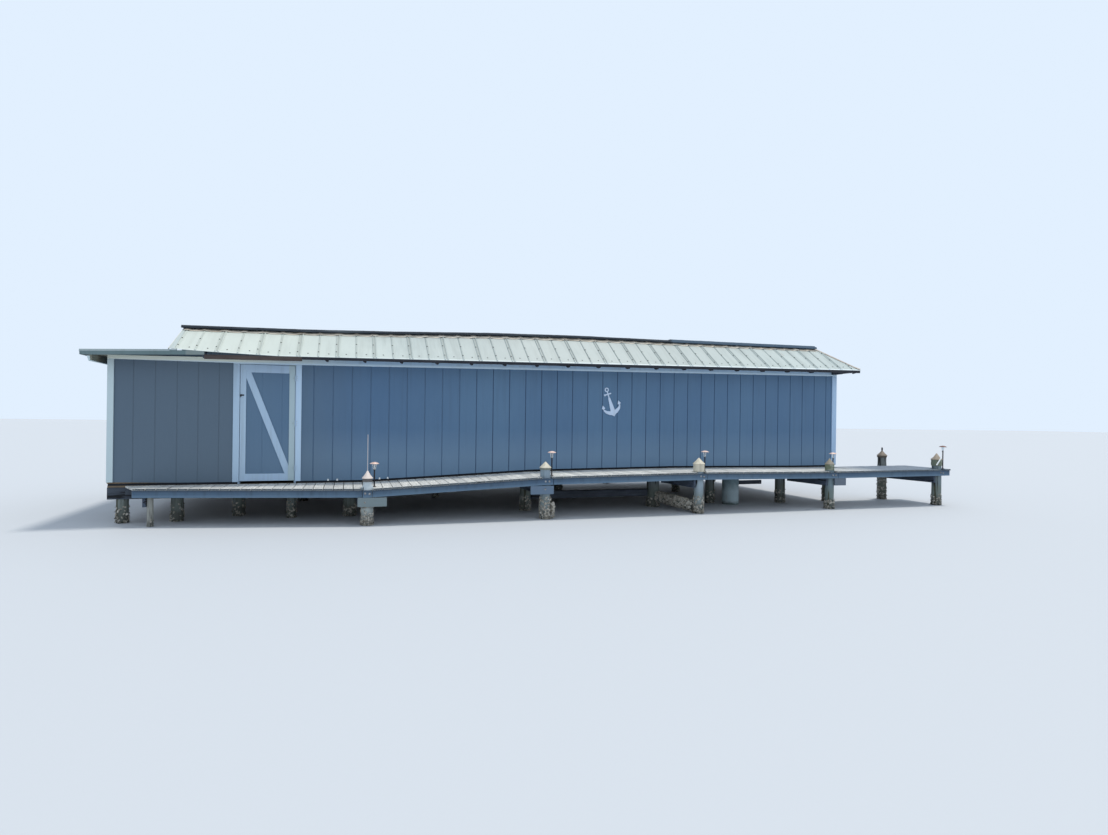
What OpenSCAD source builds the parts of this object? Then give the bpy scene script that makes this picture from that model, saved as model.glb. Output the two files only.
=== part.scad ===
// Boathouse on piles with a side walkway, one hinged door and a low metal roof.
// Millimetres. +X runs along the front wall to the water end, +Y goes in from
// the front wall, +Z is up. Zero height is the water line at the pile feet.

/* [Building] */
// Length of the front wall
wall_len = 13570; // [13300:10:13900]
// Depth from the front wall to the back wall, outside
depth = 4700; // [4300:10:5200]
// Thickness of every wall
wall_t = 95; // [85:1:110]
// Rise of the eaves and the top trim, millimetres per metre of length
rise_mm = 16; // [0:0.5:18]
// Drop of the top trim's lower edge below the door head, at the land end
trim_drop = 24; // [10:1:40]
// Width of the pale trim boards
trim_w = 95; // [80:1:105]
// Thickness of the pale trim boards
trim_t = 20; // [16:1:22]

/* [Roof] */
// Height of the metal eave above the door head at the land end, before the rise
eave_up = 91; // [85:1:101]
// Overhang of the eaves in front of the walls
eave_out = 300; // [260:5:330]
// Distance from the front wall to the upper edge of the metal slope
slope_in = 450; // [420:5:480]
// Height of the upper edge of the metal slope above the eave
slope_rise = 478; // [460:1:490]
// Start of the metal roof, from the land corner
metal_x0 = 920; // [900:5:940]
// Overhang of the metal roof past the water end wall
end_out = 405; // [380:5:430]
// Horizontal run of the hip slope at the water end
hip_run = 560; // [500:5:580]
// Most height the sagged roof gains along its upper edge
hump = 75; // [0:5:80]
// Height of the dark roll along the upper roof edge
band_h = 66; // [55:1:80]
// Spacing of the rafters
rafter_step = 599; // [590:1:620]
// Spacing of the crimped ribs in the metal
rib_pitch = 298; // [270:1:320]
// Height of the crimped ribs
rib_h = 15; // [10:1:16]

/* [Low roof] */
// Overhang of the low roof past the land corner
low_out = 255; // [220:5:280]
// Rise of the low roof towards the metal roof, millimetres per metre
low_rise_mm = 42; // [30:1:46]
// Height of the low roof fascia boards
low_fascia_h = 80; // [70:1:90]

/* [Door] */
// Left side of the door leaf, from the land corner
door_x = 1845; // [1835:1:1855]
// Width of the door leaf
door_w = 824; // [800:1:826]
// Height of the lower edge of the door leaf
door_z = 622; // [615:1:640]
// Height of the door leaf
door_h = 1892; // [1860:1:1895]
// Thickness of the door leaf
door_t = 38; // [34:1:42]
// Gap around the door leaf
door_gap = 6; // [5:0.5:7]

/* [Deck] */
// Height of the deck at the land end and at the first three piles
deck_z0 = 578; // [560:1:590]
// Height of the deck at the third pile
deck_z2 = 722; // [700:1:740]
// Height of the deck at the fourth pile
deck_z3 = 762; // [740:1:775]
// Height of the deck at the fifth pile
deck_z4 = 745; // [730:1:760]
// Height of the deck at the end platform
deck_z5 = 758; // [740:1:775]
// Thickness of the deck boards
board_t = 28; // [24:1:32]
// Distance from the front wall to the outer edge of the deck boards
deck_out = 1152; // [1120:1:1180]
// Distance from the front wall to the slanted deck edge at the land end
deck_land_out = 570; // [540:10:640]
// Length of deck past the water corner of the wall
deck_past = 1960; // [1900:5:2050]
// Height of the fascia boards of the deck
fascia_h = 111; // [100:1:130]

/* [Piles] */
// Diameter of the outer piles
pile_d = 200; // [180:1:215]
// Distance from the front wall to the line of the outer piles
pile_out = 1002; // [990:1:1005]
// Place of the first outer pile
pile_x0 = 950; // [900:5:960]
// Place of the post under the land end of the deck
land_post_x = 700; // [680:5:760]
// Diameter of the concrete pile
concrete_d = 340; // [300:5:360]

/* [Hidden] */
$fn = 32;

// Seat gap between pieces that would otherwise share a face on a slant.
seat = 0.3;
rise = rise_mm / 1000;

// Heights that follow the door head.
head_z = door_z + door_h;
trim_z = head_z - trim_drop;
eave_z = head_z + eave_up;

// Colours of the main finishes.
c_siding = [0.30, 0.39, 0.50];
c_trim = [0.73, 0.82, 0.90];
c_metal = [0.80, 0.84, 0.80];
c_roll = [0.16, 0.20, 0.24];
c_deck = [0.62, 0.64, 0.66];
c_fascia = [0.40, 0.50, 0.62];
c_raw = [0.36, 0.30, 0.25];
c_pile = [0.42, 0.42, 0.40];
c_white = [0.86, 0.85, 0.80];

// Outline of the whole, which sets the origin at its bottom centre.
x_min = -low_out - 20;
x_max = wall_len + deck_past;
y_min = -deck_out;
y_max = depth + eave_out;
ox = (x_min + x_max) / 2;
oy = (y_min + y_max) / 2;

// A place along the front wall, given for a wall of wall_ref, keeps its share of the length.
wall_ref = 13570;
function along(v) = v * wall_len / wall_ref;

// Room between the last regular pile place and the end of the platform.
pile_lip = 80;
pile_step = (x_max - pile_x0 - pile_lip) / 5;
pile_shift = [0, -40, -40, 5, 25, -140];
pile_x = [for (i = [0:5]) pile_x0 + pile_step * i + pile_shift[i]];
deck_knots = [[x_min, deck_z0], [pile_x[1], deck_z0], [pile_x[2], deck_z2],
    [pile_x[3], deck_z3], [pile_x[4], deck_z4], [x_max, deck_z5]];
// Share of the hump along the upper roof edge, and the lift of the eave at the land end.
hump_knots = [[metal_x0, 0], [along(2800), 0], [along(4300), 0.3], [along(6000), 0.85],
    [along(7700), 1], [along(9600), 0.75], [along(12000), 0.5], [wall_len, 0.35]];
lift_x = [metal_x0 + 480, metal_x0 + 1480];
lift_knots = [[metal_x0, 75], [lift_x[0], 45], [lift_x[1], 0], [wall_len, 0]];

function deck_at(x) = lookup(x, deck_knots);
function hump_at(x) = hump * lookup(x, hump_knots);
function eave_at(x) = eave_z + rise * x + lookup(x, lift_knots);
function top_at(x) = eave_z + slope_rise + rise * x + hump_at(x);
function knots_in(x0, x1, ks) = [x0, each [for (k = ks) if (k[0] > x0 && k[0] < x1) k[0]], x1];

module at_origin() {
    translate([-ox, -oy, 0]) children();
}

// A plate with an outline in X and Z, from y0 to y1.
module xz_plate(pts, y0, y1) {
    translate([0, y1, 0]) rotate([90, 0, 0]) linear_extrude(y1 - y0) polygon(pts);
}

// A plate with an outline in Y and Z, from x0 to x1.
module yz_plate(pts, x0, x1) {
    translate([x0, 0, 0]) rotate([90, 0, 90]) linear_extrude(x1 - x0) polygon(pts);
}

// A bar that follows the bends of the deck, h0 to h1 above its surface.
module deck_bar(x0, x1, y0, y1, h0, h1) {
    xs = knots_in(x0, x1, deck_knots);
    n = len(xs);
    low = [for (x = xs) [x, deck_at(x) + h0]];
    high = [for (i = [0:n - 1]) [xs[n - 1 - i], deck_at(xs[n - 1 - i]) + h1]];
    xz_plate(concat(low, high), y0, y1);
}

// The same bar in straight lengths, one between each two bends.
module deck_run(x0, x1, y0, y1, h0, h1) {
    xs = knots_in(x0, x1, deck_knots);
    for (i = [0:len(xs) - 2]) deck_bar(xs[i] + (i > 0 ? seat : 0), xs[i + 1], y0, y1, h0, h1);
}

// A straight bar that rises with the eaves.
module rise_bar(x0, x1, y0, y1, z0, z1) {
    xz_plate([[x0, z0 + rise * x0], [x1, z0 + rise * x1], [x1, z1 + rise * x1],
        [x0, z1 + rise * x0]], y0, y1);
}

// A bar that follows the sagged upper roof edge.
module top_bar(x0, x1, y0, y1, h0, h1) {
    xs = knots_in(x0, x1, hump_knots);
    n = len(xs);
    low = [for (x = xs) [x, top_at(x) + h0]];
    high = [for (i = [0:n - 1]) [xs[n - 1 - i], top_at(xs[n - 1 - i]) + h1]];
    xz_plate(concat(low, high), y0, y1);
}

siding_gap = 34;
wall_top = eave_z + 112;
jamb_t = 20;
open_x0 = door_x - door_gap - jamb_t;
open_x1 = door_x + door_w + door_gap + jamb_t;
open_z1 = door_z + door_h + door_gap + jamb_t;
low_t = 40;
step_x = metal_x0 + 80;

// Top of the low roof.
low_top = head_z + 114;
function low_at(x) = low_top + low_rise_mm / 1000 * x;

// A plate as the low roof slopes, h0 to h1 above its top.
module low_bar(x0, x1, y0, y1, h0, h1) {
    xz_plate([[x0, low_at(x0) + h0], [x1, low_at(x1) + h0], [x1, low_at(x1) + h1],
        [x0, low_at(x0) + h1]], y0, y1);
}

// A wall along X between the deck line and the wall top.
module long_wall(x0, x1, y0, y1) {
    xs = knots_in(x0, x1, deck_knots);
    low = [for (x = xs) [x, deck_at(x) + siding_gap]];
    xz_plate(concat(low, [[x1, wall_top + rise * x1], [x0, wall_top + rise * x0]]), y0, y1);
}

// The land part of a long wall, lower under the low roof.
module long_wall_low(x0, x1, y0, y1) {
    z0 = deck_z0 + siding_gap;
    drop = low_t + seat;
    xz_plate([[x0, z0], [x1, z0], [x1, wall_top + rise * x1], [step_x, wall_top + rise * step_x],
        [step_x, low_at(step_x) - drop], [x0, low_at(x0) - drop]], y0, y1);
}

module front_wall_left() {
    color(c_siding) at_origin() long_wall_low(0, open_x0, 0, wall_t);
}

module front_wall_right() {
    color(c_siding) at_origin() long_wall(open_x1, wall_len, 0, wall_t);
}

module wall_over_door() {
    color(c_siding) at_origin()
        xz_plate([[open_x0, open_z1], [open_x1, open_z1], [open_x1, wall_top + rise * open_x1],
            [open_x0, wall_top + rise * open_x0]], 0, wall_t);
}

module back_wall() {
    color(c_siding) at_origin() {
        long_wall_low(0, open_x0, depth - wall_t, depth);
        long_wall(open_x0, wall_len, depth - wall_t, depth);
    }
}

module land_end_wall() {
    z0 = deck_z0 + siding_gap;
    color(c_siding) at_origin()
        translate([0, wall_t, z0])
            cube([wall_t, depth - 2 * wall_t, low_top - low_t - seat - z0]);
}

// The slope height over a given y at the eave line x.
function slope_at(x, y) = eave_at(x) + (top_at(x) - eave_at(x)) * (y + eave_out) / (slope_in + eave_out);

module water_end_wall() {
    xw = wall_len - wall_t;
    z0 = deck_at(wall_len) + siding_gap;
    zt = eave_at(xw) + (top_at(wall_len) - eave_at(wall_len)) * end_out / hip_run - 12;
    za = slope_at(xw, wall_t) - 12;
    yb = wall_t + (zt - za) * (slope_in + eave_out) / (top_at(xw) - eave_at(xw));
    color(c_siding) at_origin()
        yz_plate([[wall_t, z0], [depth - wall_t, z0], [depth - wall_t, za], [depth - yb, zt],
            [yb, zt], [wall_t, za]], xw, wall_len);
}

module upper_end_wall() {
    z0 = low_at(step_x) + seat;
    za = slope_at(step_x, wall_t) - 40;
    zt = top_at(step_x) - 8;
    color(c_siding) at_origin()
        yz_plate([[wall_t, z0], [depth - wall_t, z0], [depth - wall_t, za],
            [depth - slope_in, zt], [slope_in, zt], [wall_t, za]], step_x, step_x + wall_t);
}

sill_in = 14;
module sill_plates() {
    color(c_raw) at_origin() {
        deck_bar(sill_in, open_x0, sill_in, wall_t, seat, siding_gap - seat);
        deck_bar(open_x1, wall_len - sill_in, sill_in, wall_t, seat, siding_gap - seat);
        deck_bar(sill_in, wall_len - sill_in, depth - wall_t, depth - sill_in, seat, siding_gap - seat);
        deck_bar(sill_in, wall_t, wall_t + seat, depth - wall_t - seat, seat, siding_gap - seat);
        deck_bar(wall_len - wall_t, wall_len - sill_in, wall_t + seat, depth - wall_t - seat, seat,
            siding_gap - seat);
    }
}

floor_in = 10;
module floor() {
    color(c_raw) at_origin()
        deck_run(floor_in, wall_len - floor_in, floor_in, depth - floor_in, -board_t, 0);
}

beam_h = 180;
beam_w = 90;
beam_y = [0, depth / 2 - beam_w / 2, depth - beam_w];

module floor_beams() {
    color(c_raw) at_origin() for (y = beam_y)
        deck_bar(floor_in, wall_len - floor_in, y, y + beam_w, -board_t - beam_h, -board_t - seat);
}

trim_top = trim_z + 96;

module top_trim() {
    color(c_trim) at_origin() {
        rise_bar(0, wall_len + trim_t, -trim_t, 0, trim_z, trim_top);
        rise_bar(0, wall_len + trim_t, depth, depth + trim_t, trim_z, trim_top);
    }
}

module corner_trims() {
    zl = deck_z0 + siding_gap;
    zr = deck_at(wall_len) + siding_gap;
    xr = wall_len - trim_w;
    color(c_trim) at_origin() for (y = [-trim_t, depth]) {
        translate([0, y, zl]) cube([trim_w, trim_t, trim_z - zl]);
        translate([xr, y, zr]) cube([trim_w + trim_t, trim_t, trim_z + rise * xr - zr]);
    }
}

module door_casing() {
    z0 = deck_z0 + siding_gap;
    xl = door_x - door_gap;
    xr = door_x + door_w + door_gap;
    color(c_trim) at_origin() {
        translate([xl - trim_w, -trim_t, z0]) cube([trim_w, trim_t, trim_z + rise * (xl - trim_w) - z0]);
        translate([xr, -trim_t, z0]) cube([trim_w, trim_t, trim_z + rise * xr - z0]);
    }
}

stop_w = 14;
module door_jamb() {
    z0 = deck_z0;
    xl = door_x - door_gap;
    xr = door_x + door_w + door_gap;
    zt = door_z + door_h + door_gap;
    stop_y = -12 + door_t + 6;
    color(c_trim) at_origin() {
        for (x = [xl - jamb_t, xr]) translate([x, 0, z0]) cube([jamb_t, wall_t, zt - z0 - seat]);
        for (x = [xl, xr - stop_w]) translate([x, stop_y, z0]) cube([stop_w, 30, zt - z0 - seat]);
        translate([xl - jamb_t, 0, zt]) cube([door_w + 2 * door_gap + 2 * jamb_t, wall_t, jamb_t]);
    }
}

// The door leaf: face at leaf_y, hinge axis in front of the casing at the right side.
leaf_y = -12;
pin_x = door_x + door_w + door_gap / 2;
pin_y = -29;
pin_r = 3;
knuckle_r = 7;
hinge_h = 90;
hinge_z = [door_z + 160, door_z + door_h / 2 - hinge_h / 2, door_z + door_h - 160 - hinge_h];
stile_w = 88;
rail_top = 90;
rail_low = 118;
skin_t = 12;

module door_panel() {
    color(c_siding) at_origin()
        translate([door_x, leaf_y + skin_t, door_z]) cube([door_w, door_t - skin_t, door_h]);
}

module door_frame_boards() {
    color(c_trim) at_origin() translate([door_x, leaf_y, door_z]) {
        cube([stile_w, skin_t, door_h]);
        translate([door_w - stile_w, 0, 0]) cube([stile_w, skin_t, door_h]);
        translate([stile_w, 0, 0]) cube([door_w - 2 * stile_w, skin_t, rail_low]);
        translate([stile_w, 0, door_h - rail_top]) cube([door_w - 2 * stile_w, skin_t, rail_top]);
    }
}

// Where the cut ends of the brace meet the stiles and the rails.
brace_v = 130;
brace_u = 60;
module door_brace() {
    x0 = door_x + stile_w;
    x1 = door_x + door_w - stile_w;
    z0 = door_z + rail_low;
    z1 = door_z + door_h - rail_top;
    color(c_trim) at_origin()
        xz_plate([[x0, z1], [x0, z1 - brace_v], [x1 - brace_u, z0], [x1, z0], [x1, z0 + brace_v],
            [x0 + brace_u, z1]], leaf_y, leaf_y + skin_t);
}

module hinge_fixed() {
    color(c_trim) at_origin() for (z = hinge_z) {
        translate([pin_x + door_gap / 2 + 2, -trim_t - 3, z]) cube([42, 3, hinge_h]);
        translate([pin_x, pin_y, z]) {
            for (k = [0, hinge_h - 28]) translate([0, 0, k]) {
                cylinder(r = knuckle_r, h = 28);
                cube([12, 9, 28]);
            }
            cylinder(r = pin_r, h = hinge_h);
        }
    }
}

module hinge_moving() {
    color(c_trim) at_origin() for (z = hinge_z) translate([pin_x, pin_y, z + 28.5]) {
        difference() {
            union() {
                cylinder(r = knuckle_r, h = hinge_h - 57);
                translate([-10, 0, 0]) cube([10, 17, hinge_h - 57]);
                translate([-50, 14, 0]) cube([47, 3, hinge_h - 57]);
            }
            translate([0, 0, -1]) cylinder(r = pin_r + 0.05, h = hinge_h);
        }
    }
}

module door_latch() {
    color(c_roll) at_origin() translate([door_x + 1, leaf_y - 16, door_z + 1381]) {
        cube([58, 16, 22]);
        translate([8, -22, 4]) cube([14, 22, 14]);
    }
}

sheet_t = 5;
hip_x = wall_len + end_out;
hip_top = hip_x - hip_run;
rib_x0 = metal_x0 + 27;
rib_first = metal_x0 + 70;
rib_n = floor((hip_x - 170 - rib_x0) / rib_pitch);
xs_roof = [metal_x0, for (i = [1:rib_n]) if (rib_x0 + rib_pitch * i < hip_top - 20) rib_x0 + rib_pitch * i,
    hip_top];
ns = len(xs_roof);

// Slope sheet as a closed grid: eave and top points above, then the same below.
function eave_pt(i) = i < ns - 1 ? [xs_roof[i], -eave_out, eave_at(xs_roof[i])]
    : [hip_x, -eave_out, eave_z + rise * hip_x];
function top_pt(i) = [xs_roof[i], slope_in, top_at(xs_roof[i])];

module slope_sheet() {
    pts = concat([for (i = [0:ns - 1]) eave_pt(i)], [for (i = [0:ns - 1]) top_pt(i)],
        [for (i = [0:ns - 1]) eave_pt(i) - [0, 0, sheet_t]],
        [for (i = [0:ns - 1]) top_pt(i) - [0, 0, sheet_t]]);
    up = [for (i = [0:ns - 2]) each [[i, ns + i, i + 1], [i + 1, ns + i, ns + i + 1]]];
    dn = [for (i = [0:ns - 2]) each [[2 * ns + i, 2 * ns + i + 1, 3 * ns + i],
        [2 * ns + i + 1, 3 * ns + i + 1, 3 * ns + i]]];
    fr = [for (i = [0:ns - 2]) each [[i, i + 1, 2 * ns + i + 1], [i, 2 * ns + i + 1, 2 * ns + i]]];
    bk = [for (i = [0:ns - 2]) each [[ns + i, 3 * ns + i, 3 * ns + i + 1],
        [ns + i, 3 * ns + i + 1, ns + i + 1]]];
    ends = [[0, 2 * ns, 3 * ns], [0, 3 * ns, ns],
        [ns - 1, 2 * ns - 1, 4 * ns - 1], [ns - 1, 4 * ns - 1, 3 * ns - 1]];
    polyhedron(points = pts, faces = concat(up, dn, fr, bk, ends), convexity = 4);
}

// A crimped rib along a slope, from rib_in behind its lower edge: it starts rib_sink below the
// sheet and runs run_y in and rise_z up.
rib_w = 34;
rib_sink = 3;
rib_gap = 46;
rib_in = 10;
rib_end = 14;
module rib(run_y, rise_z) {
    a = atan2(rise_z, run_y);
    rotate([a, 0, 0]) rotate([90, 0, 0]) mirror([0, 0, 1])
        linear_extrude(norm([run_y, rise_z]))
            polygon([[-rib_w / 2, -rib_sink], [-3, rib_h], [3, rib_h], [rib_w / 2, -rib_sink]]);
}

// Ribs stand single and double by turns, as crimped sheets lap; the first one lies by the rake edge.
rib_xs = [rib_first, for (i = [1:rib_n])
    each (i % 2 == 1 ? [rib_x0 + rib_pitch * i]
        : [rib_x0 + rib_pitch * i - rib_gap / 2, rib_x0 + rib_pitch * i + rib_gap / 2])];

module slope_ribs() {
    for (x = rib_xs) {
        k = min(1, (hip_x - x - rib_w / 2) / hip_run);
        ze = eave_at(x);
        zt = top_at(min(x, hip_top));
        run = (slope_in + eave_out) * k - rib_end;
        grade = (zt - ze) / (slope_in + eave_out);
        translate([x, rib_in - eave_out, ze + rib_in * grade]) rib(run - rib_in, (run - rib_in) * grade);
    }
}

module metal_slope_front() {
    color(c_metal) at_origin() union() {
        slope_sheet();
        slope_ribs();
    }
}

module metal_slope_back() {
    color(c_metal) at_origin() translate([0, depth, 0]) mirror([0, 1, 0]) union() {
        slope_sheet();
        slope_ribs();
    }
}

module metal_hip_end() {
    ze = eave_z + rise * hip_x;
    zt = top_at(hip_top);
    a = [[hip_x, -eave_out, ze], [hip_top, slope_in, zt], [hip_top, depth - slope_in, zt],
        [hip_x, depth + eave_out, ze]];
    b = [for (p = a) p - [0, 0, sheet_t]];
    n = floor((depth + 2 * eave_out - 300) / rib_pitch);
    y0 = depth / 2 - rib_pitch * n / 2;
    color(c_metal) at_origin() union() {
        polyhedron(points = concat(a, b), faces = [[0, 1, 2], [0, 2, 3], [4, 6, 5], [4, 7, 6],
            [0, 4, 5], [0, 5, 1], [1, 5, 6], [1, 6, 2], [2, 6, 7], [2, 7, 3], [3, 7, 4], [3, 4, 0]],
            convexity = 2);
        for (i = [0:n]) {
            y = y0 + rib_pitch * i;
            side = min(y, depth - y) + eave_out - rib_w / 2;
            k = min(1, side / (slope_in + eave_out));
            run = hip_run * k - rib_end;
            grade = (zt - ze) / hip_run;
            translate([hip_x - rib_in, y, ze + rib_in * grade]) rotate([0, 0, 90])
                rib(run - rib_in, (run - rib_in) * grade);
        }
    }
}

roof_t = 24;
module roof_deck() {
    color(c_roll) at_origin()
        top_bar(metal_x0, hip_top, slope_in + seat, depth - slope_in - seat, 0, roof_t);
}

// The roll is doubled by a lap towards the water end.
lap_x = along(9800);
roll_end = hip_top - 20;
module roof_roll() {
    color(c_roll) at_origin() {
        top_bar(metal_x0 - 20, roll_end, slope_in - 60, slope_in + 60, roof_t + seat, band_h);
        top_bar(lap_x, roll_end - 40, slope_in - 45, slope_in + 120, band_h + seat, band_h + 18);
        top_bar(metal_x0 - 20, roll_end, depth - slope_in - 60, depth - slope_in + 60,
            roof_t + seat, band_h);
    }
}

// Two rafters and the flat roof joist between them, in Y and Z at the given x.
raft_v = 62;
raft_w = 38;
joist_h = 120;
joist_cut = 60;
tail_in = 26;
// Room between the sheets and the rafters, where the slope twists a little.
purlin = 12;
module rafter(x) {
    ye = tail_in - eave_out;
    yt = slope_in - seat;
    e = eave_z + rise * x;
    t = top_at(x);
    k = (t - e) / (slope_in + eave_out);
    ze = e + k * tail_in - sheet_t - purlin;
    zt = t - sheet_t - purlin;
    x0 = x - raft_w / 2;
    yz_plate([[ye, ze], [yt, zt], [yt, zt - raft_v], [ye, ze - raft_v]], x0, x0 + raft_w);
    yz_plate([[depth - ye, ze], [depth - yt, zt], [depth - yt, zt - raft_v], [depth - ye, ze - raft_v]],
        x0, x0 + raft_w);
    difference() {
        yz_plate([[slope_in, t + 5], [depth - slope_in, t + 5], [depth - slope_in, zt - raft_v],
            [depth - slope_in - joist_cut, zt - joist_h], [slope_in + joist_cut, zt - joist_h],
            [slope_in, zt - raft_v]], x0, x0 + raft_w);
        top_bar(x0 - 20, x0 + raft_w + 20, slope_in - 10, depth - slope_in + 10, -seat, 200);
    }
}

last_rafter = 220;
rafter_n = floor((wall_len - last_rafter - step_x - wall_t - 40) / rafter_step);
module rafters() {
    color(c_raw) at_origin() for (i = [0:rafter_n]) rafter(wall_len - last_rafter - rafter_step * i);
}

// Where the low fascia ends and the eave board takes over.
fascia_end = step_x + 375;
eave_len = 1415;
eave_board_h = 70;
module eave_boards() {
    z1 = eave_z - sheet_t - seat;
    color(c_raw) at_origin() for (y = [-eave_out, depth + eave_out - 20])
        rise_bar(fascia_end, fascia_end + eave_len, y, y + 20, z1 - eave_board_h, z1);
}

module low_roof() {
    color(c_roll) at_origin()
        low_bar(-low_out, step_x, -eave_out + 20, depth + eave_out - 20, -low_t, 0);
}

// The side boards are cut off under the metal eave.
module low_fascia() {
    x0 = -low_out - 20;
    x1 = fascia_end + 10;
    drop = sheet_t + seat;
    color(c_fascia) at_origin() {
        difference() {
            for (y = [-eave_out, depth + eave_out - 20])
                low_bar(x0, fascia_end, y, y + 20, -low_fascia_h, 0);
            xz_plate([[metal_x0, eave_at(metal_x0) - drop], [x1, eave_at(x1) - drop],
                [x1, wall_top + 200], [metal_x0, wall_top + 200]], -eave_out - 50, depth + eave_out + 50);
        }
        low_bar(x0, -low_out, -eave_out + 20, depth + eave_out - 20, -low_fascia_h, 0);
    }
}

deck_in = 12;
end_y = 12;
fascia_t = 36;

// The seawall cuts the land end of the deck on a slant.
module land_cut() {
    translate([250, 0, -100]) rotate([0, 0, -64.2]) translate([-1000, -3000, 0]) cube([4000, 3000, 1200]);
}

// The land part of the deck widens towards the second outer pile.
taper_x0 = 890;
taper_x1 = pile_x[1] - 70;
taper_end = deck_out - 32;
function edge_at(x) = -deck_land_out - (taper_end - deck_land_out) * (x - taper_x0) / (taper_x1 - taper_x0);
module outside_edge(back) {
    translate([0, 0, -100]) linear_extrude(1200) polygon([[x_min - 100, edge_at(x_min - 100) + back],
        [x_min - 100, -3000], [taper_x1, -3000], [taper_x1, edge_at(taper_x1) + back]]);
}

module deck_boards() {
    color(c_deck) at_origin() difference() {
        deck_run(x_min + 200, x_max, -deck_out, -deck_in, -board_t, 0);
        land_cut();
        outside_edge(0);
        for (i = [1:5]) translate([pile_x[i], -pile_out, 0]) cylinder(d = pile_d + 12, h = 1200);
    }
}

// Fascia of the slanted edge, cut round the second outer pile.
module land_fascia(h0, h1) {
    difference() {
        translate([0, 0, deck_z0 + h0]) linear_extrude(h1 - h0) polygon([[0, edge_at(0) + 14],
            [taper_x1, edge_at(taper_x1) + 14], [taper_x1, edge_at(taper_x1) + 14 + fascia_t],
            [0, edge_at(0) + 14 + fascia_t]]);
        translate([pile_x[1], -pile_out, 0]) cylinder(d = pile_d + 2 * seat, h = 1200);
    }
}

module deck_fascia() {
    h1 = -board_t - seat;
    h0 = -board_t - fascia_h;
    y0 = -pile_out - pile_d / 2 - fascia_t;
    color(c_fascia) at_origin() difference() {
        union() {
            deck_bar(taper_x1 + seat, x_max - 12, y0, y0 + fascia_t, h0, h1);
            land_fascia(h0, h1);
            deck_bar(wall_len + 60, x_max - 12, -fascia_t, 0, h0, h1);
            deck_bar(x_max - 12 - fascia_t, x_max - 12, y0 + fascia_t + seat, -fascia_t - seat, h0, h1);
        }
        land_cut();
    }
}

module deck_stringers() {
    h1 = -board_t - seat;
    h0 = -board_t - fascia_h;
    color(c_raw) at_origin() difference() {
        union() {
            deck_bar(300, x_max - 12 - fascia_t - seat, -620, -582, h0, h1);
            deck_bar(60, wall_len + 60 - seat, -fascia_t, 0, h0, h1);
        }
        land_cut();
        outside_edge(14 + fascia_t + seat);
    }
}

// Cross beams run in from the land side of each outer pile to the wall piles.
beam_t = 45;
beam_v = 145;
beam_back = 60;
beam_lean = [2, 1, 2.6, 6.4, 4.6, 5.1];
pile_r = [for (i = [0:5]) i == 0 ? 50 : pile_d / 2];
pile_at = [for (i = [0:5]) i == 0 ? [land_post_x, edge_at(land_post_x) + 110] : [pile_x[i], -pile_out]];
function under_deck(xa, xb) = min(deck_at(xa), deck_at(xb)) - board_t - fascia_h - seat;

module cross_beams() {
    color(c_raw) at_origin() for (i = [0:5]) {
        xa = pile_at[i][0] - (pile_r[i] + seat) / cos(beam_lean[i]);
        len_in = (-pile_at[i][1] + (i == 5 ? 160 : -1)) / cos(beam_lean[i]);
        back = i == 0 ? 40 : beam_back;
        difference() {
            translate([xa, pile_at[i][1], under_deck(xa, xa - 160) - beam_v])
                rotate([0, 0, beam_lean[i]]) translate([-beam_t, -back, 0])
                    cube([beam_t, len_in + back, beam_v]);
            translate([xa - 400, i == 5 ? 200 : -seat, 0]) cube([500, 200, head_z]);
        }
    }
}

// Short boards under the fascia at three of the piles: pile, start and end beside it.
bolster_at = [[1, -145, 290], [2, -290, 110], [4, 15, 280]];
bolster_h = 140;
module bolsters() {
    color(c_fascia) at_origin() for (b = bolster_at) {
        x = pile_x[b[0]];
        z1 = under_deck(x + b[1], x + b[2]);
        y0 = -pile_out - pile_d / 2 - fascia_t;
        translate([x + b[1], y0, z1 - bolster_h]) cube([b[2] - b[1], fascia_t, bolster_h]);
    }
}

// Height of the flat top of each outer pile above the deck.
cap_gap = [0, 160, 135, 145, 135, 215];
back_x = wall_len + 1395;
back_y = pile_d / 2 + seat;
back_up = 225;
module outer_piles() {
    color(c_pile) at_origin() {
        translate([pile_at[0][0], pile_at[0][1], 0]) cylinder(r = pile_r[0], h = under_deck(0, land_post_x));
        for (i = [1:5]) translate([pile_x[i], -pile_out, 0])
            cylinder(d = pile_d, h = deck_at(pile_x[i]) + cap_gap[i]);
        translate([back_x, back_y, 0]) cylinder(d = pile_d, h = deck_z5 + back_up);
    }
}

module pile_caps() {
    color(c_white) at_origin() {
        for (i = [1:5]) translate([pile_x[i], -pile_out, deck_at(pile_x[i]) + cap_gap[i]]) pile_cap();
        translate([back_x, back_y, deck_z5 + back_up]) pile_cap();
    }
}

// A cone cap with a short skirt that fits over the pile top.
cap_skirt = 50;
cap_brim = 12;
cap_rise = 112;
module pile_cap() {
    rotate_extrude() polygon([[0, 0], [pile_d / 2, 0], [pile_d / 2, -cap_skirt],
        [pile_d / 2 + 8, -cap_skirt], [pile_d / 2 + cap_brim, cap_brim], [0, cap_rise]]);
}

// The top of a pile under a floor beam, or under the floor itself.
function beam_foot(x, r) = min(deck_at(x - r), deck_at(x + r)) - board_t - beam_h;
function floor_foot(x, r) = min(deck_at(x - r), deck_at(x + r)) - board_t;

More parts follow.
